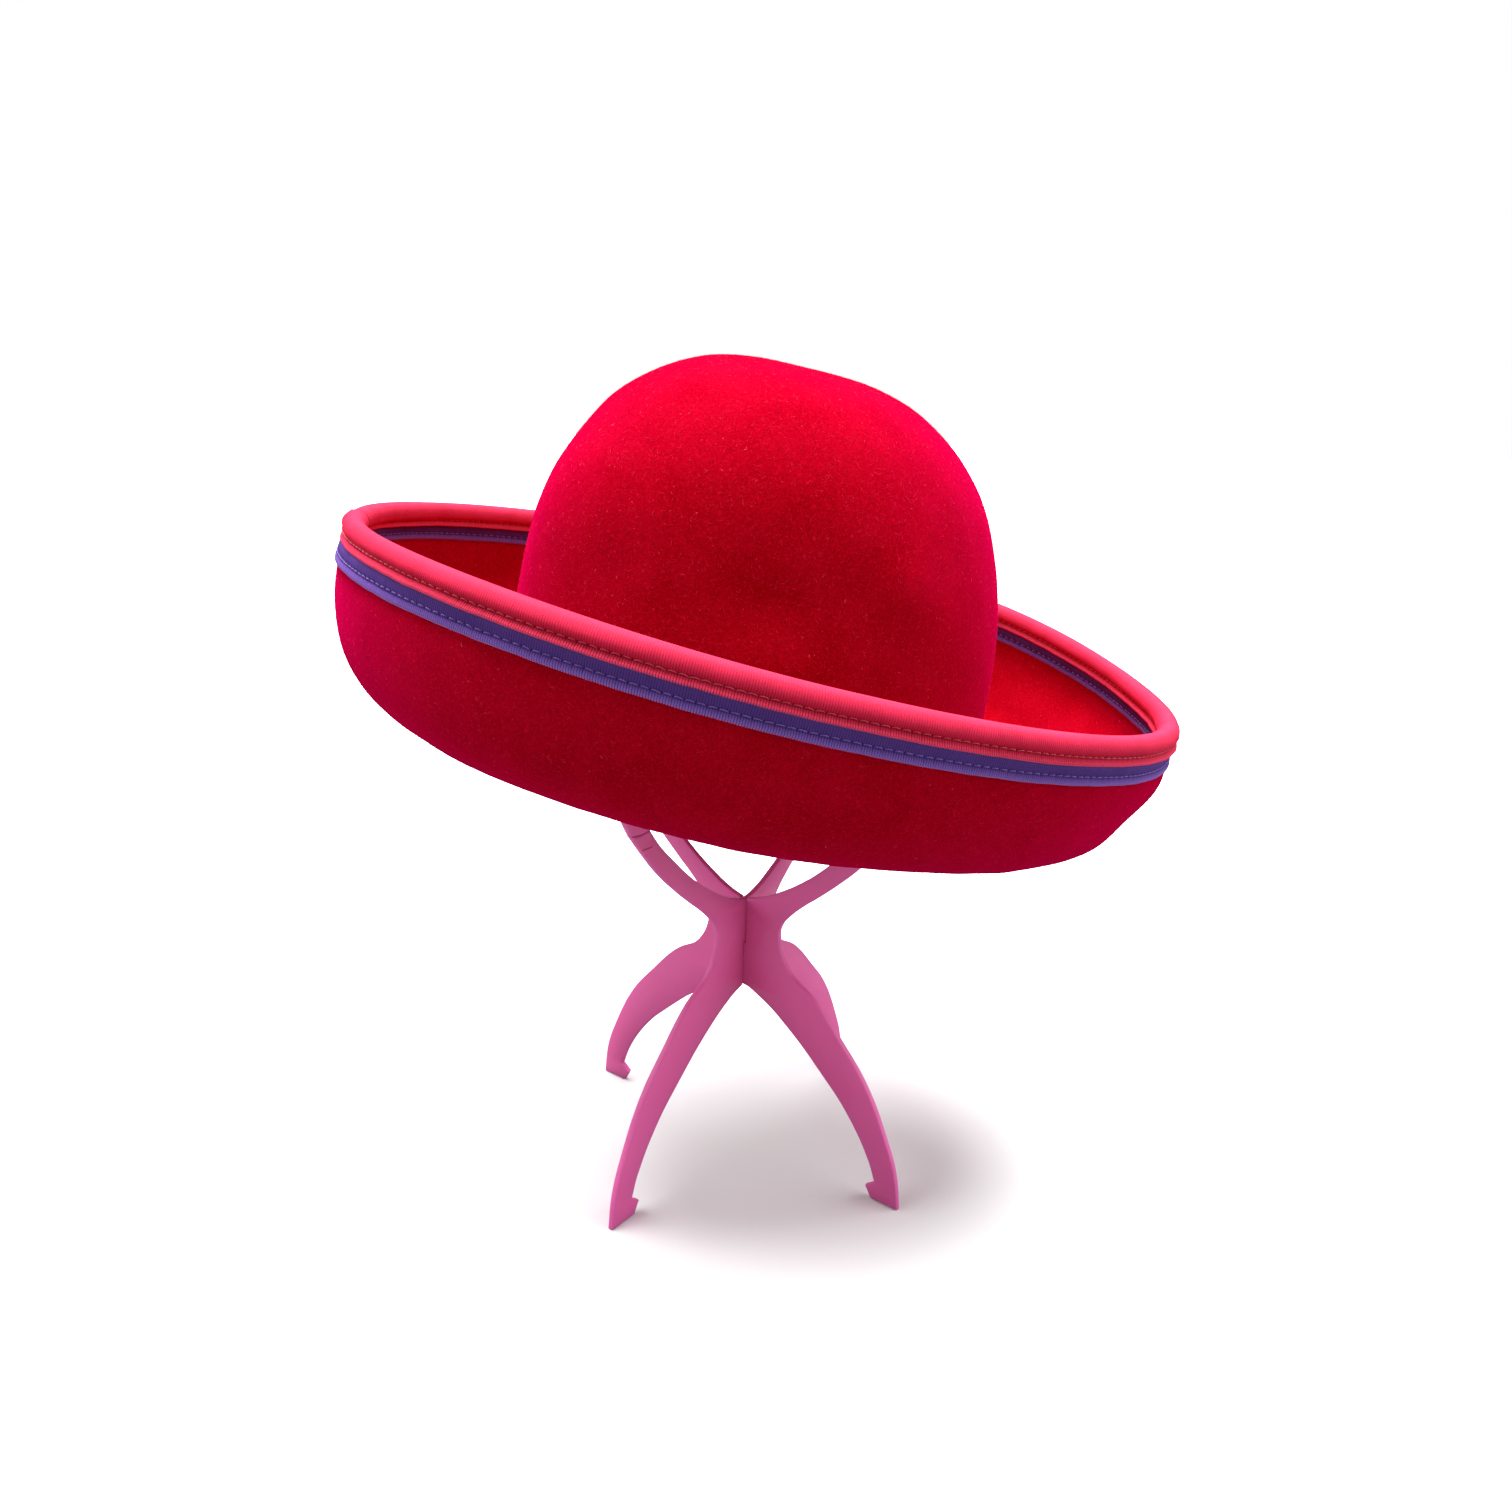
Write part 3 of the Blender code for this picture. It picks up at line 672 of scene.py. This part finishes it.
def tease_fibres(name, area, count, seed, material):
    """Curled three-sided hairs, scattered evenly over the felt's faces whose numbers are in area."""
    mesh = hat_body.data
    number = len(mesh.polygons)
    middles = np.empty(number * 3)
    normals = np.empty(number * 3)
    sizes = np.empty(number)
    mesh.polygons.foreach_get("center", middles)
    mesh.polygons.foreach_get("normal", normals)
    mesh.polygons.foreach_get("area", sizes)
    rng = np.random.default_rng(seed)
    chosen = rng.choice(area, count, p=sizes[area] / sizes[area].sum())
    up = normals.reshape(-1, 3)[chosen]
    along = np.cross(up, rng.normal(size=(count, 3)))
    along /= np.linalg.norm(along, axis=1)[:, None]
    side = np.cross(up, along)
    spot = rng.uniform(-0.5, 0.5, (count, 2)) * np.sqrt(sizes[chosen])[:, None]
    root = middles.reshape(-1, 3)[chosen] + along * spot[:, :1] + side * spot[:, 1:] + up * NAP_CLEARANCE
    length = rng.uniform(FIBRE_SHORTEST, FIBRE_LONGEST, count)[:, None]
    curl = rng.normal(0, FIBRE_CURL, count)[:, None] * length
    lift = np.abs(rng.normal(0, FIBRE_LIFT, count))[:, None]
    path = np.stack([
        root + along * length * gone + side * curl * bent + up * (over + lift * lifted)
        for gone, bent, over, lifted, _ in FIBRE_PATH
    ], axis=1)
    radius = FIBRE_RADIUS * np.array([row[-1] for row in FIBRE_PATH])[None, :, None]
    corners = []
    for turn in range(3):
        angle = 2 * math.pi * turn / 3
        offset = side * math.cos(angle) + up * math.sin(angle)
        corners.append(path + offset[:, None, :] * radius)
    points = np.stack(corners, axis=2).reshape(-1, 3)
    first = np.arange(count)[:, None] * 9
    quads = []
    for ring in (0, 3):
        for turn in range(3):
            after = (turn + 1) % 3
            quads.append([ring + turn, ring + after, ring + 3 + after, ring + 3 + turn])
    sides = (first[:, None, :] + np.array(quads)[None]).reshape(-1, 4)
    ends = (first[:, None, :] + np.array([[2, 1, 0], [6, 7, 8]])[None]).reshape(-1, 3)
    return make_piece(name, points.tolist(), sides.tolist() + ends.tolist(), material)


def loose_wool_material():
    material, tree, shader = start_material(
        "loose_wool", Specular_IOR_Level=0.1, Sheen_Weight=0.42, Sheen_Tint=FELT_GLOW, Roughness=0.8
    )
    place = add_node(tree, "ShaderNodeTexCoord").outputs["Object"]
    dye = add_noise(tree, place, 420.0, 1.0)
    colour = mix_colour(tree, spread(tree, dye, 0.42, 0.62), FIBRE_RED, FIBRE_PINK)
    tree.links.new(colour, shader.inputs["Base Color"])
    add_relief(tree, shader, add_noise(tree, place, 6000.0, 1.0), strength=0.2, distance=0.00005)
    return material


loose_wool = loose_wool_material()
sheet_faces = (CROWN_ROWS + BRIM_ROWS + 1) * FELT_COLUMNS
crown_faces = CROWN_ROWS * FELT_COLUMNS
brim_end = (CROWN_ROWS + BRIM_ROWS) * FELT_COLUMNS
over_crown = np.concatenate([np.arange(crown_faces), np.arange(brim_end, sheet_faces)])
over_brim = np.arange(crown_faces, brim_end)
under_brim = sheet_faces + over_brim
for name, area, count, seed in (
    ("fuzz_on_crown", over_crown, 12500, 21),
    ("fuzz_under_brim", under_brim, 12500, 22),
    ("fuzz_in_gutter", over_brim, 7000, 23),
):
    fuzz = tease_fibres(name, area, count, seed, loose_wool)
    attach(fuzz, "root")

# Purple binding: a ribbed grosgrain ribbon folded over the edge of the brim and machine-stitched
# through, so that it shows the same on both sides. Its woven edge stands up in tiny loops.

RIBS = 1146
COLUMNS_PER_RIB = 3
COLUMNS = RIBS * COLUMNS_PER_RIB
STITCH_RIBS = 4
STITCH_COLUMNS = STITCH_RIBS * COLUMNS_PER_RIB
RIB_GROOVE = -1.0
RIB_TOP = 0.35
HOLE_DEPTH = 0.00042
HOLE_COLUMNS = 1.3
# PURPLE_DARK also serves as painted shade between the ribs and in the stitched groove, and PURPLE_LIGHT as
# painted highlight towards the fold and on the lip; both serve too for the dye's own flecks and patches
PURPLE_DARK = (0.018, 0.006, 0.065, 1)
PURPLE = (0.100, 0.044, 0.26, 1)
PURPLE_LIGHT = (0.30, 0.16, 0.57, 1)
PURPLE_LOOPS = (0.56, 0.26, 0.62, 1)

# The ribbon's outside, from its woven edge up to the felt's edge: depth below the felt's edge, height
# over the felt, rib depth, scallop of the woven edge, share of the pull of the needle holes. Rib depth
# and scallop count RIB_TOP times on a rib and RIB_GROOVE times between two ribs
PURPLE_SIDE = (
    (0.0144, 0.00065, 0.00008, 0.00034, 0),
    (0.0140, 0.00122, 0.00018, 0.00016, 0),
    (0.0131, 0.00140, 0.00020, 0, 0.3),
    (0.0119, 0.00118, 0.00018, 0, 0.8),
    (0.0112, 0.00076, 0.00011, 0, 1.0),
    (0.0105, 0.00104, 0.00012, 0, 0.5),
    (0.0092, 0.00120, 0.00012, 0, 0.1),
    (0.0074, 0.00116, 0.00012, 0, 0),
    (0.0054, 0.00100, 0.00005, 0, 0),
    (0.0002, 0.00092, 0, 0, 0),
)

# Over the felt's edge: angle in degrees, height over the felt, rib depth
PURPLE_OVER = ((90, 0.00100, 0),)

# The hidden face: depth below the felt's edge, height over the felt
PURPLE_INNER = ((0.0140, 0.00030), (0.0070, 0.00030), (0.0, 0.00030))

# How the woven edge wanders up and down, and how full the ribbon stands: length of a wave in metres, and
# height or share of the fullness
EDGE_WANDER = ((0.055, 0.00012), (0.012, 0.00010), (0.004, 0.00005))
FULLNESS = ((0.040, 0.10), (0.009, 0.05))


def rim_directions(count):
    """Directions round the hat that are evenly spaced along the felt's edge, and the edge's length."""
    theta = np.linspace(0, 2 * math.pi, 20001)
    edge = brim_section(theta, steps=2)[:, -1]
    travelled = run_along(np.linalg.norm(np.diff(edge, axis=0), axis=1))
    return np.interp(np.arange(count) / count * travelled[-1], travelled, theta), travelled[-1]


def rim_frames(theta, depths):
    """Points at these depths below the felt's edge, on the brim's outside, and the ways up and outwards.

    depths has one row for each direction, or is one row for them all.
    """
    sections = brim_section(theta)
    depths = np.broadcast_to(depths, (len(theta), np.shape(depths)[-1]))
    tangents = np.gradient(sections, axis=1)[:, ::-1]
    steps = np.linalg.norm(np.diff(sections, axis=1), axis=2)[:, ::-1]
    points = np.empty((*depths.shape, 3))
    ups = np.empty((*depths.shape, 3))
    for k in range(len(theta)):
        below = run_along(steps[k])
        for axis in range(3):
            points[k, :, axis] = np.interp(depths[k], below, sections[k, ::-1, axis])
            ups[k, :, axis] = np.interp(depths[k], below, tangents[k, :, axis])
    ups /= np.linalg.norm(ups, axis=2)[:, :, None]
    middle = (np.roll(points, -1, axis=0) - np.roll(points, 1, axis=0)).mean(axis=1, keepdims=True)
    outs = np.cross(middle, ups)
    return points, ups, outs / np.linalg.norm(outs, axis=2)[:, :, None]


def wander(waves, seed, base=0.0):
    """Gentle waves along the ribbon that meet themselves after a full turn, added to base."""
    total = np.full(COLUMNS, base)
    for k, (length, size) in enumerate(waves):
        reach = rim_length / (2 * math.pi * length)
        circle = [(math.cos(a) * reach, math.sin(a) * reach) for a in along_rim * 2 * math.pi]
        total += size * np.array([noise.noise(Vector((x, y, seed + k))) * 2 for x, y in circle])
    return total


rim_theta, rim_length = rim_directions(COLUMNS)
column = np.arange(COLUMNS)
along_rim = column / COLUMNS
rib_shape = np.where(column % COLUMNS_PER_RIB == 0, RIB_GROOVE, RIB_TOP)
from_hole = np.abs((column + STITCH_COLUMNS // 2) % STITCH_COLUMNS - STITCH_COLUMNS // 2)
hole_shape = np.exp(-((from_hole / HOLE_COLUMNS) ** 2))


def weave_ribbon(name, side, over_edge, inner, lift, seed, material):
    """A ribbon folded over the edge: the same side profile outside and inside, and a plain hidden face."""
    outside_shift = wander(EDGE_WANDER, seed)
    fullness = wander(FULLNESS, seed + 10, base=1.0)
    faces_seen = []
    for which, shift in ((1, outside_shift), (-1, np.roll(outside_shift, COLUMNS // 3))):
        heights = []
        moved = []
        for depth, height, rib, scallop, pull in side:
            edge_share = depth / side[0][0]
            moved.append(depth + shift * edge_share + scallop * rib_shape)
            pulled = height * fullness + rib * rib_shape - HOLE_DEPTH * pull * hole_shape
            heights.append(pulled + lift(depth, which))
        points, _, outs = rim_frames(rim_theta, np.stack(moved, axis=-1))
        heights = np.stack(heights, axis=-1)[:, :, None]
        points = points + outs * heights if which > 0 else points - outs * (FELT + heights)
        faces_seen.append([points[:, k] for k in range(len(side))][::which])
    edge, up, out = (part[:, 0] for part in rim_frames(rim_theta, np.array([0.0])))
    middle = edge - out * FELT / 2
    arc = []
    for turn, reach, rib in over_edge:
        angle = math.radians(turn)
        grow = (reach + rib * rib_shape + lift(0, math.cos(angle)))[:, None]
        arc.append(middle + (FELT / 2 + grow) * (out * math.cos(angle) + up * math.sin(angle)))
    points, _, outs = rim_frames(rim_theta, np.array([depth for depth, _ in inner]))
    hidden = [points[:, k] - outs[:, k] * (FELT + height) for k, (_, height) in enumerate(inner)]
    hidden.append(middle + up * (FELT / 2 + inner[-1][1]))
    for k in range(len(inner) - 1, -1, -1):
        hidden.append(points[:, k] + outs[:, k] * inner[k][1])
    seen = faces_seen[0] + arc + faces_seen[1]
    loop = np.array(seen + hidden)
    rows = len(loop)
    after = (column + 1) % COLUMNS
    faces = []
    for row in range(rows):
        first = row * COLUMNS
        second = (row + 1) % rows * COLUMNS
        faces.append(np.stack([first + column, first + after, second + after, second + column], axis=-1))
    placed = place_on_stand(loop.reshape(-1, 3))
    ribbon = make_piece(name, placed.tolist(), np.concatenate(faces).tolist(), material)
    share = np.append(np.arange(len(seen)) / (len(seen) - 1), np.ones(rows - len(seen)))
    coordinates = np.empty((rows, COLUMNS, 4, 2))
    coordinates[:, :, :, 0] = np.stack([column, column + 1, column + 1, column], axis=-1) / COLUMNS
    for row in range(rows):
        here = share[row]
        there = share[row + 1] if row < len(seen) - 1 else here
        coordinates[row, :, :, 1] = (here, here, there, there)
    lengthwise = ribbon.data.uv_layers.new(name="ribbon")
    lengthwise.uv.foreach_set("vector", coordinates.astype(np.float32).ravel())
    return ribbon


def grosgrain_group():
    """Ribs across a ribbon, with the fine yarns that cross them. Reads the ribbon's own lengthwise map."""
    results = ("Rib", "Yarn", "Fade")
    group, start, end = start_group("grosgrain", ("Ribbon", "Place"), ("Ribs",), results)
    along = add_node(group, "ShaderNodeSeparateXYZ", {"Vector": start.outputs["Ribbon"]}).outputs["X"]
    phase = reckon(group, "FRACT", reckon(group, "MULTIPLY", along, start.outputs["Ribs"]))
    from_top = reckon(group, "ABSOLUTE", reckon(group, "SUBTRACT", phase, 0.5))
    group.links.new(spread(group, from_top, 0.5, 0.30), end.inputs["Rib"])
    group.links.new(add_noise(group, start.outputs["Place"], 5200.0, 2.0), end.inputs["Yarn"])
    group.links.new(add_noise(group, start.outputs["Place"], 90.0, 4.0), end.inputs["Fade"])
    return group


grosgrain = grosgrain_group()


def ribbon_material(name, dark, base, light, loops, filled, stitch_at, shade_end, shade, join_at=None):
    """Grosgrain in four shades. Across the ribbon, 0 and 1 are its woven edges and 0.5 is the fold.

    filled is how much the painted shade in the grooves between the ribs lifts above the stitches.
    A painted shadow of strength shade lies in the stitched groove, at stitch_at, and fades out towards
    the fold over shade_end.
    join_at is the place along the ribbon where its end laps over its beginning; a painted shadow line lies
    there.
    """
    material, tree, shader = start_material(
        name,
        Specular_IOR_Level=0.04,
        Sheen_Weight=0.07,
        Sheen_Roughness=0.35,
        Sheen_Tint=light,
        Roughness=0.66,
    )
    place = add_node(tree, "ShaderNodeTexCoord").outputs["Object"]
    ribbon = add_node(tree, "ShaderNodeUVMap", uv_map="ribbon").outputs["UV"]
    inputs = {"Ribbon": ribbon, "Place": place, "Ribs": float(RIBS)}
    weave = add_node(tree, "ShaderNodeGroup", inputs, node_tree=grosgrain)
    rib, yarn, fade = (weave.outputs[socket] for socket in ("Rib", "Yarn", "Fade"))
    parts = add_node(tree, "ShaderNodeSeparateXYZ", {"Vector": ribbon})
    along, across = parts.outputs["X"], parts.outputs["Y"]
    from_edge = reckon(tree, "MINIMUM", across, reckon(tree, "SUBTRACT", 1.0, across))
    # Painted shade: the gaps between the ribs are darkened towards dark, less so above the stitches
    grooves = reckon(tree, "MAXIMUM", rib, spread(tree, from_edge, 0.15, 0.26, 0.0, filled))
    colour = mix_colour(tree, grooves, dark, base)
    # Painted highlight: the light yarn flecks grow much stronger towards the fold, on top of the roll
    painted_fold_highlight = spread(tree, from_edge, 0.31, 0.49, 0.08, 0.70)
    yarn_and_painted_highlight = reckon(tree, "MULTIPLY", spread(tree, yarn, 0.25, 0.70), painted_fold_highlight)
    colour = mix_colour(tree, yarn_and_painted_highlight, colour, light)
    colour = mix_colour(tree, spread(tree, fade, 0.35, 0.7, 0.0, 0.14), colour, dark)
    # Painted highlight on the ribs of the lip below the stitches
    lip = spread(tree, from_edge, 0.18, 0.08, 0.0, 0.70)
    colour = mix_colour(tree, reckon(tree, "MULTIPLY", lip, rib), colour, light)
    # Painted shadow in the stitched groove: darkest at the stitch line, fading out towards the fold over
    # shade_end and quickly below the stitches
    from_stitch = reckon(tree, "SUBTRACT", from_edge, stitch_at)
    below = spread(tree, from_stitch, -0.04, 0.0)
    crease = reckon(tree, "MULTIPLY", below, spread(tree, from_stitch, shade_end, 0.0))
    colour = mix_colour(tree, spread(tree, crease, 0.0, 1.0, 0.0, shade), colour, dark)
    # Painted shadow: a thin dark line across the ribbon at the join
    if join_at is not None:
        from_join = reckon(tree, "ABSOLUTE", reckon(tree, "SUBTRACT", along, join_at))
        colour = mix_colour(tree, spread(tree, from_join, 0.0013, 0.0004, 0.0, 0.9), colour, dark)
    tips = reckon(tree, "MULTIPLY", spread(tree, from_edge, 0.045, 0.0), rib)
    tree.links.new(mix_colour(tree, tips, colour, loops), shader.inputs["Base Color"])
    add_relief(tree, shader, reckon(tree, "ADD", yarn, rib), strength=0.45, distance=0.0002)
    return material


def no_lift(depth, which):
    """No join shows on the purple ribbon, so nothing lifts it."""
    return np.zeros(COLUMNS)


purple_ribbon = ribbon_material(
    "purple_ribbon", PURPLE_DARK, PURPLE, PURPLE_LIGHT, PURPLE_LOOPS,
    filled=0.35, stitch_at=0.20, shade_end=0.20, shade=0.30,
)
purple_piece = weave_ribbon(
    "purple_ribbon_binding", PURPLE_SIDE, PURPLE_OVER, PURPLE_INNER, no_lift, 2.0, purple_ribbon
)
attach(purple_piece, "root")
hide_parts("purple_binding")

# Purple stitching: one lockstitch for every four ribs, outside and inside, a short arc of thread that
# is pulled into the ribbon at its two needle holes.

PURPLE_STITCH_DEPTH = 0.0112
PURPLE_STITCH_HEIGHT = 0.00085
PURPLE_THREAD = (0.24, 0.13, 0.50, 1)
PURPLE_THREAD_DARK = (0.07, 0.030, 0.20, 1)
THREAD_RADIUS = 0.00022
THREAD_SIDES = 5
STITCH_POINTS = 7
STITCH_START = 0.10
STITCH_END = 0.90
STITCH_FULLNESS = 0.6
STITCH_SINK = 0.00040
STITCH_RISE = 0.00075
STITCH_BOW = 0.00048
STITCH_UNEVEN = 0.00006
STITCH_SLANT = 0.00008


def sew_stitches(name, depth, height, material):
    """A row of stitches on each side of the brim, at this depth below its edge and height over the felt."""
    count = COLUMNS // STITCH_COLUMNS
    share = np.linspace(STITCH_START, STITCH_END, STITCH_POINTS)
    position = (np.arange(count)[:, None] + share[None, :]) * STITCH_COLUMNS
    theta = np.interp(position.ravel(), np.arange(COLUMNS + 1), np.append(rim_theta, 2 * math.pi))
    points, ups, outs = (part[:, 0] for part in rim_frames(theta, np.array([depth])))
    bow = np.tile(np.sin(np.linspace(0, math.pi, STITCH_POINTS)) ** STITCH_FULLNESS, count)
    rng = np.random.default_rng(11)
    uneven = np.repeat(rng.normal(0, STITCH_UNEVEN, count), STITCH_POINTS)
    slant = np.repeat(rng.normal(0, STITCH_SLANT, count), STITCH_POINTS)
    slant = slant * np.tile(np.linspace(-1, 1, STITCH_POINTS), count)
    vertices = []
    faces = []
    for which in (1, -1):
        out = outs * which
        base = points if which > 0 else points - outs * FELT
        path = base + out * (height - STITCH_SINK + STITCH_RISE * bow + uneven)[:, None]
        path = path + ups * (STITCH_BOW * bow + slant)[:, None]
        for stitch in range(count):
            first = len(vertices)
            for k in range(stitch * STITCH_POINTS, (stitch + 1) * STITCH_POINTS):
                for turn in range(THREAD_SIDES):
                    angle = 2 * math.pi * turn / THREAD_SIDES
                    offset = out[k] * math.cos(angle) + ups[k] * math.sin(angle)
                    vertices.append(path[k] + offset * THREAD_RADIUS)
            for ring in range(first, first + (STITCH_POINTS - 1) * THREAD_SIDES, THREAD_SIDES):
                for turn in range(THREAD_SIDES):
                    a = ring + turn
                    b = ring + (turn + 1) % THREAD_SIDES
                    c = b + THREAD_SIDES
                    d = a + THREAD_SIDES
                    faces.append((a, b, c, d) if which > 0 else (a, d, c, b))
            start = tuple(range(first, first + THREAD_SIDES))
            last = tuple(range(len(vertices) - THREAD_SIDES, len(vertices)))
            faces += [start[::-which], last[::which]]
    row = make_piece(name, place_on_stand(vertices).tolist(), faces, material)
    pick(row)
    bpy.ops.object.mode_set(mode="EDIT")
    bpy.ops.mesh.select_all(action="SELECT")
    bpy.ops.mesh.normals_make_consistent(inside=False)
    bpy.ops.object.mode_set(mode="OBJECT")
    return row


def thread_material(name, base, dark):
    material, tree, shader = start_material(name, Roughness=0.5, Sheen_Weight=0.2, Specular_IOR_Level=0.35)
    place = add_node(tree, "ShaderNodeTexCoord").outputs["Object"]
    twist = add_noise(tree, place, 4200.0, 2.0)
    tree.links.new(mix_colour(tree, spread(tree, twist, 0.35, 0.6), dark, base), shader.inputs["Base Color"])
    add_relief(tree, shader, twist, strength=0.4, distance=0.0001)
    return material


purple_thread = thread_material("purple_thread", PURPLE_THREAD, PURPLE_THREAD_DARK)
purple_stitches = sew_stitches("purple_stitching", PURPLE_STITCH_DEPTH, PURPLE_STITCH_HEIGHT, purple_thread)
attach(purple_stitches, "root")

# Coral binding: a second grosgrain ribbon rolled over the first, padded at the edge so that it
# stands as a round roll, drawn in by its stitches and flared below them. It is joined at the back.

# CORAL_DARK also serves as painted shade between the ribs, in the stitched groove and at the join, and
# CORAL_LIGHT as painted highlight towards the fold and on the lip; both serve too for the dye's own flecks
# and patches
CORAL_DARK = (0.20, 0.001, 0.006, 1)
CORAL = (0.64, 0.010, 0.050, 1)
CORAL_LIGHT = (0.84, 0.072, 0.155, 1)
CORAL_LOOPS = (1.0, 0.14, 0.24, 1)
CORAL_THREAD = (0.86, 0.08, 0.15, 1)
CORAL_THREAD_DARK = (0.60, 0.02, 0.06, 1)
CORAL_STITCH_DEPTH = 0.00365
CORAL_STITCH_HEIGHT = 0.00165

# The columns are those of the purple ribbon's tables
CORAL_SIDE = (
    (0.00645, 0.00225, 0.00010, 0.00036, 0),
    (0.00612, 0.00292, 0.00024, 0.00018, 0),
    (0.00535, 0.00272, 0.00024, 0, 0.3),
    (0.00430, 0.00192, 0.00020, 0, 0.8),
    (0.00365, 0.00138, 0.00012, 0, 1.0),
    (0.00318, 0.00170, 0.00012, 0, 0.5),
    (0.00258, 0.00256, 0.00010, 0, 0.1),
    (0.00150, 0.00306, 0.00008, 0, 0),
    (0.00010, 0.00302, 0.00007, 0, 0),
)
CORAL_OVER = (
    (36, 0.00290, 0.00007),
    (72, 0.00278, 0.00006),
    (108, 0.00278, 0.00006),
    (144, 0.00290, 0.00007),
)
CORAL_INNER = ((0.0061, 0.00170), (0.0036, 0.00104), (0.0, 0.00140))

# The join: its direction round the hat, how far its line is ahead on the outside and how much it slants,
# the lapped end's step with the crease in front of it, how far past the join its painted shadow line
# lies, and the lip drawn in below the stitches
JOIN_DIRECTION = math.radians(183)
JOIN_AHEAD = 0.0012
JOIN_SLANT = 0.10
JOIN_STEP = 0.00105
JOIN_STEP_WIDTH = 0.00040
JOIN_FADE = 0.020
JOIN_CREASE = 0.00110
JOIN_CREASE_WIDTH = 0.0005
JOIN_LINE_SHIFT = 0.0008
LIP_START = 0.0040
LIP_BLEND = 0.0015
LIP_DRAWN_IN = 0.00120
LIP_DIRECTION = JOIN_DIRECTION + 0.10
LIP_HALF_TURN = 0.45
join_share = float(np.interp(JOIN_DIRECTION, rim_theta, along_rim))


def join_lift(depth, which):
    """The end of the ribbon is turned under and laps over its beginning: a step that fades out behind it."""
    past = (along_rim - join_share) * rim_length - JOIN_AHEAD * which - JOIN_SLANT * depth
    step = 0.5 + 0.5 * np.tanh(past / JOIN_STEP_WIDTH)
    fade = np.clip(1 - past / JOIN_FADE, 0, 1) ** 1.5
    crease = np.exp(-(((past + JOIN_CREASE_WIDTH) / JOIN_CREASE_WIDTH) ** 2))
    below_stitch = np.clip((depth - LIP_START) / LIP_BLEND, 0, 1)
    drawn_in = np.exp(-(((rim_theta - LIP_DIRECTION) / LIP_HALF_TURN) ** 2))
    above = (JOIN_STEP * step * fade - JOIN_CREASE * crease) * (1 - below_stitch)
    return above - LIP_DRAWN_IN * drawn_in * below_stitch


coral_ribbon = ribbon_material(
    "coral_ribbon", CORAL_DARK, CORAL, CORAL_LIGHT, CORAL_LOOPS,
    filled=0.30, stitch_at=0.19, shade_end=0.16, shade=0.62, join_at=join_share + JOIN_LINE_SHIFT,
)
coral_piece = weave_ribbon(
    "coral_ribbon_binding", CORAL_SIDE, CORAL_OVER, CORAL_INNER, join_lift, 5.0, coral_ribbon
)
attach(coral_piece, "root")
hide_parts("coral_binding")

coral_thread = thread_material("coral_thread", CORAL_THREAD, CORAL_THREAD_DARK)
coral_stitches = sew_stitches("coral_stitching", CORAL_STITCH_DEPTH, CORAL_STITCH_HEIGHT, coral_thread)
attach(coral_stitches, "root")
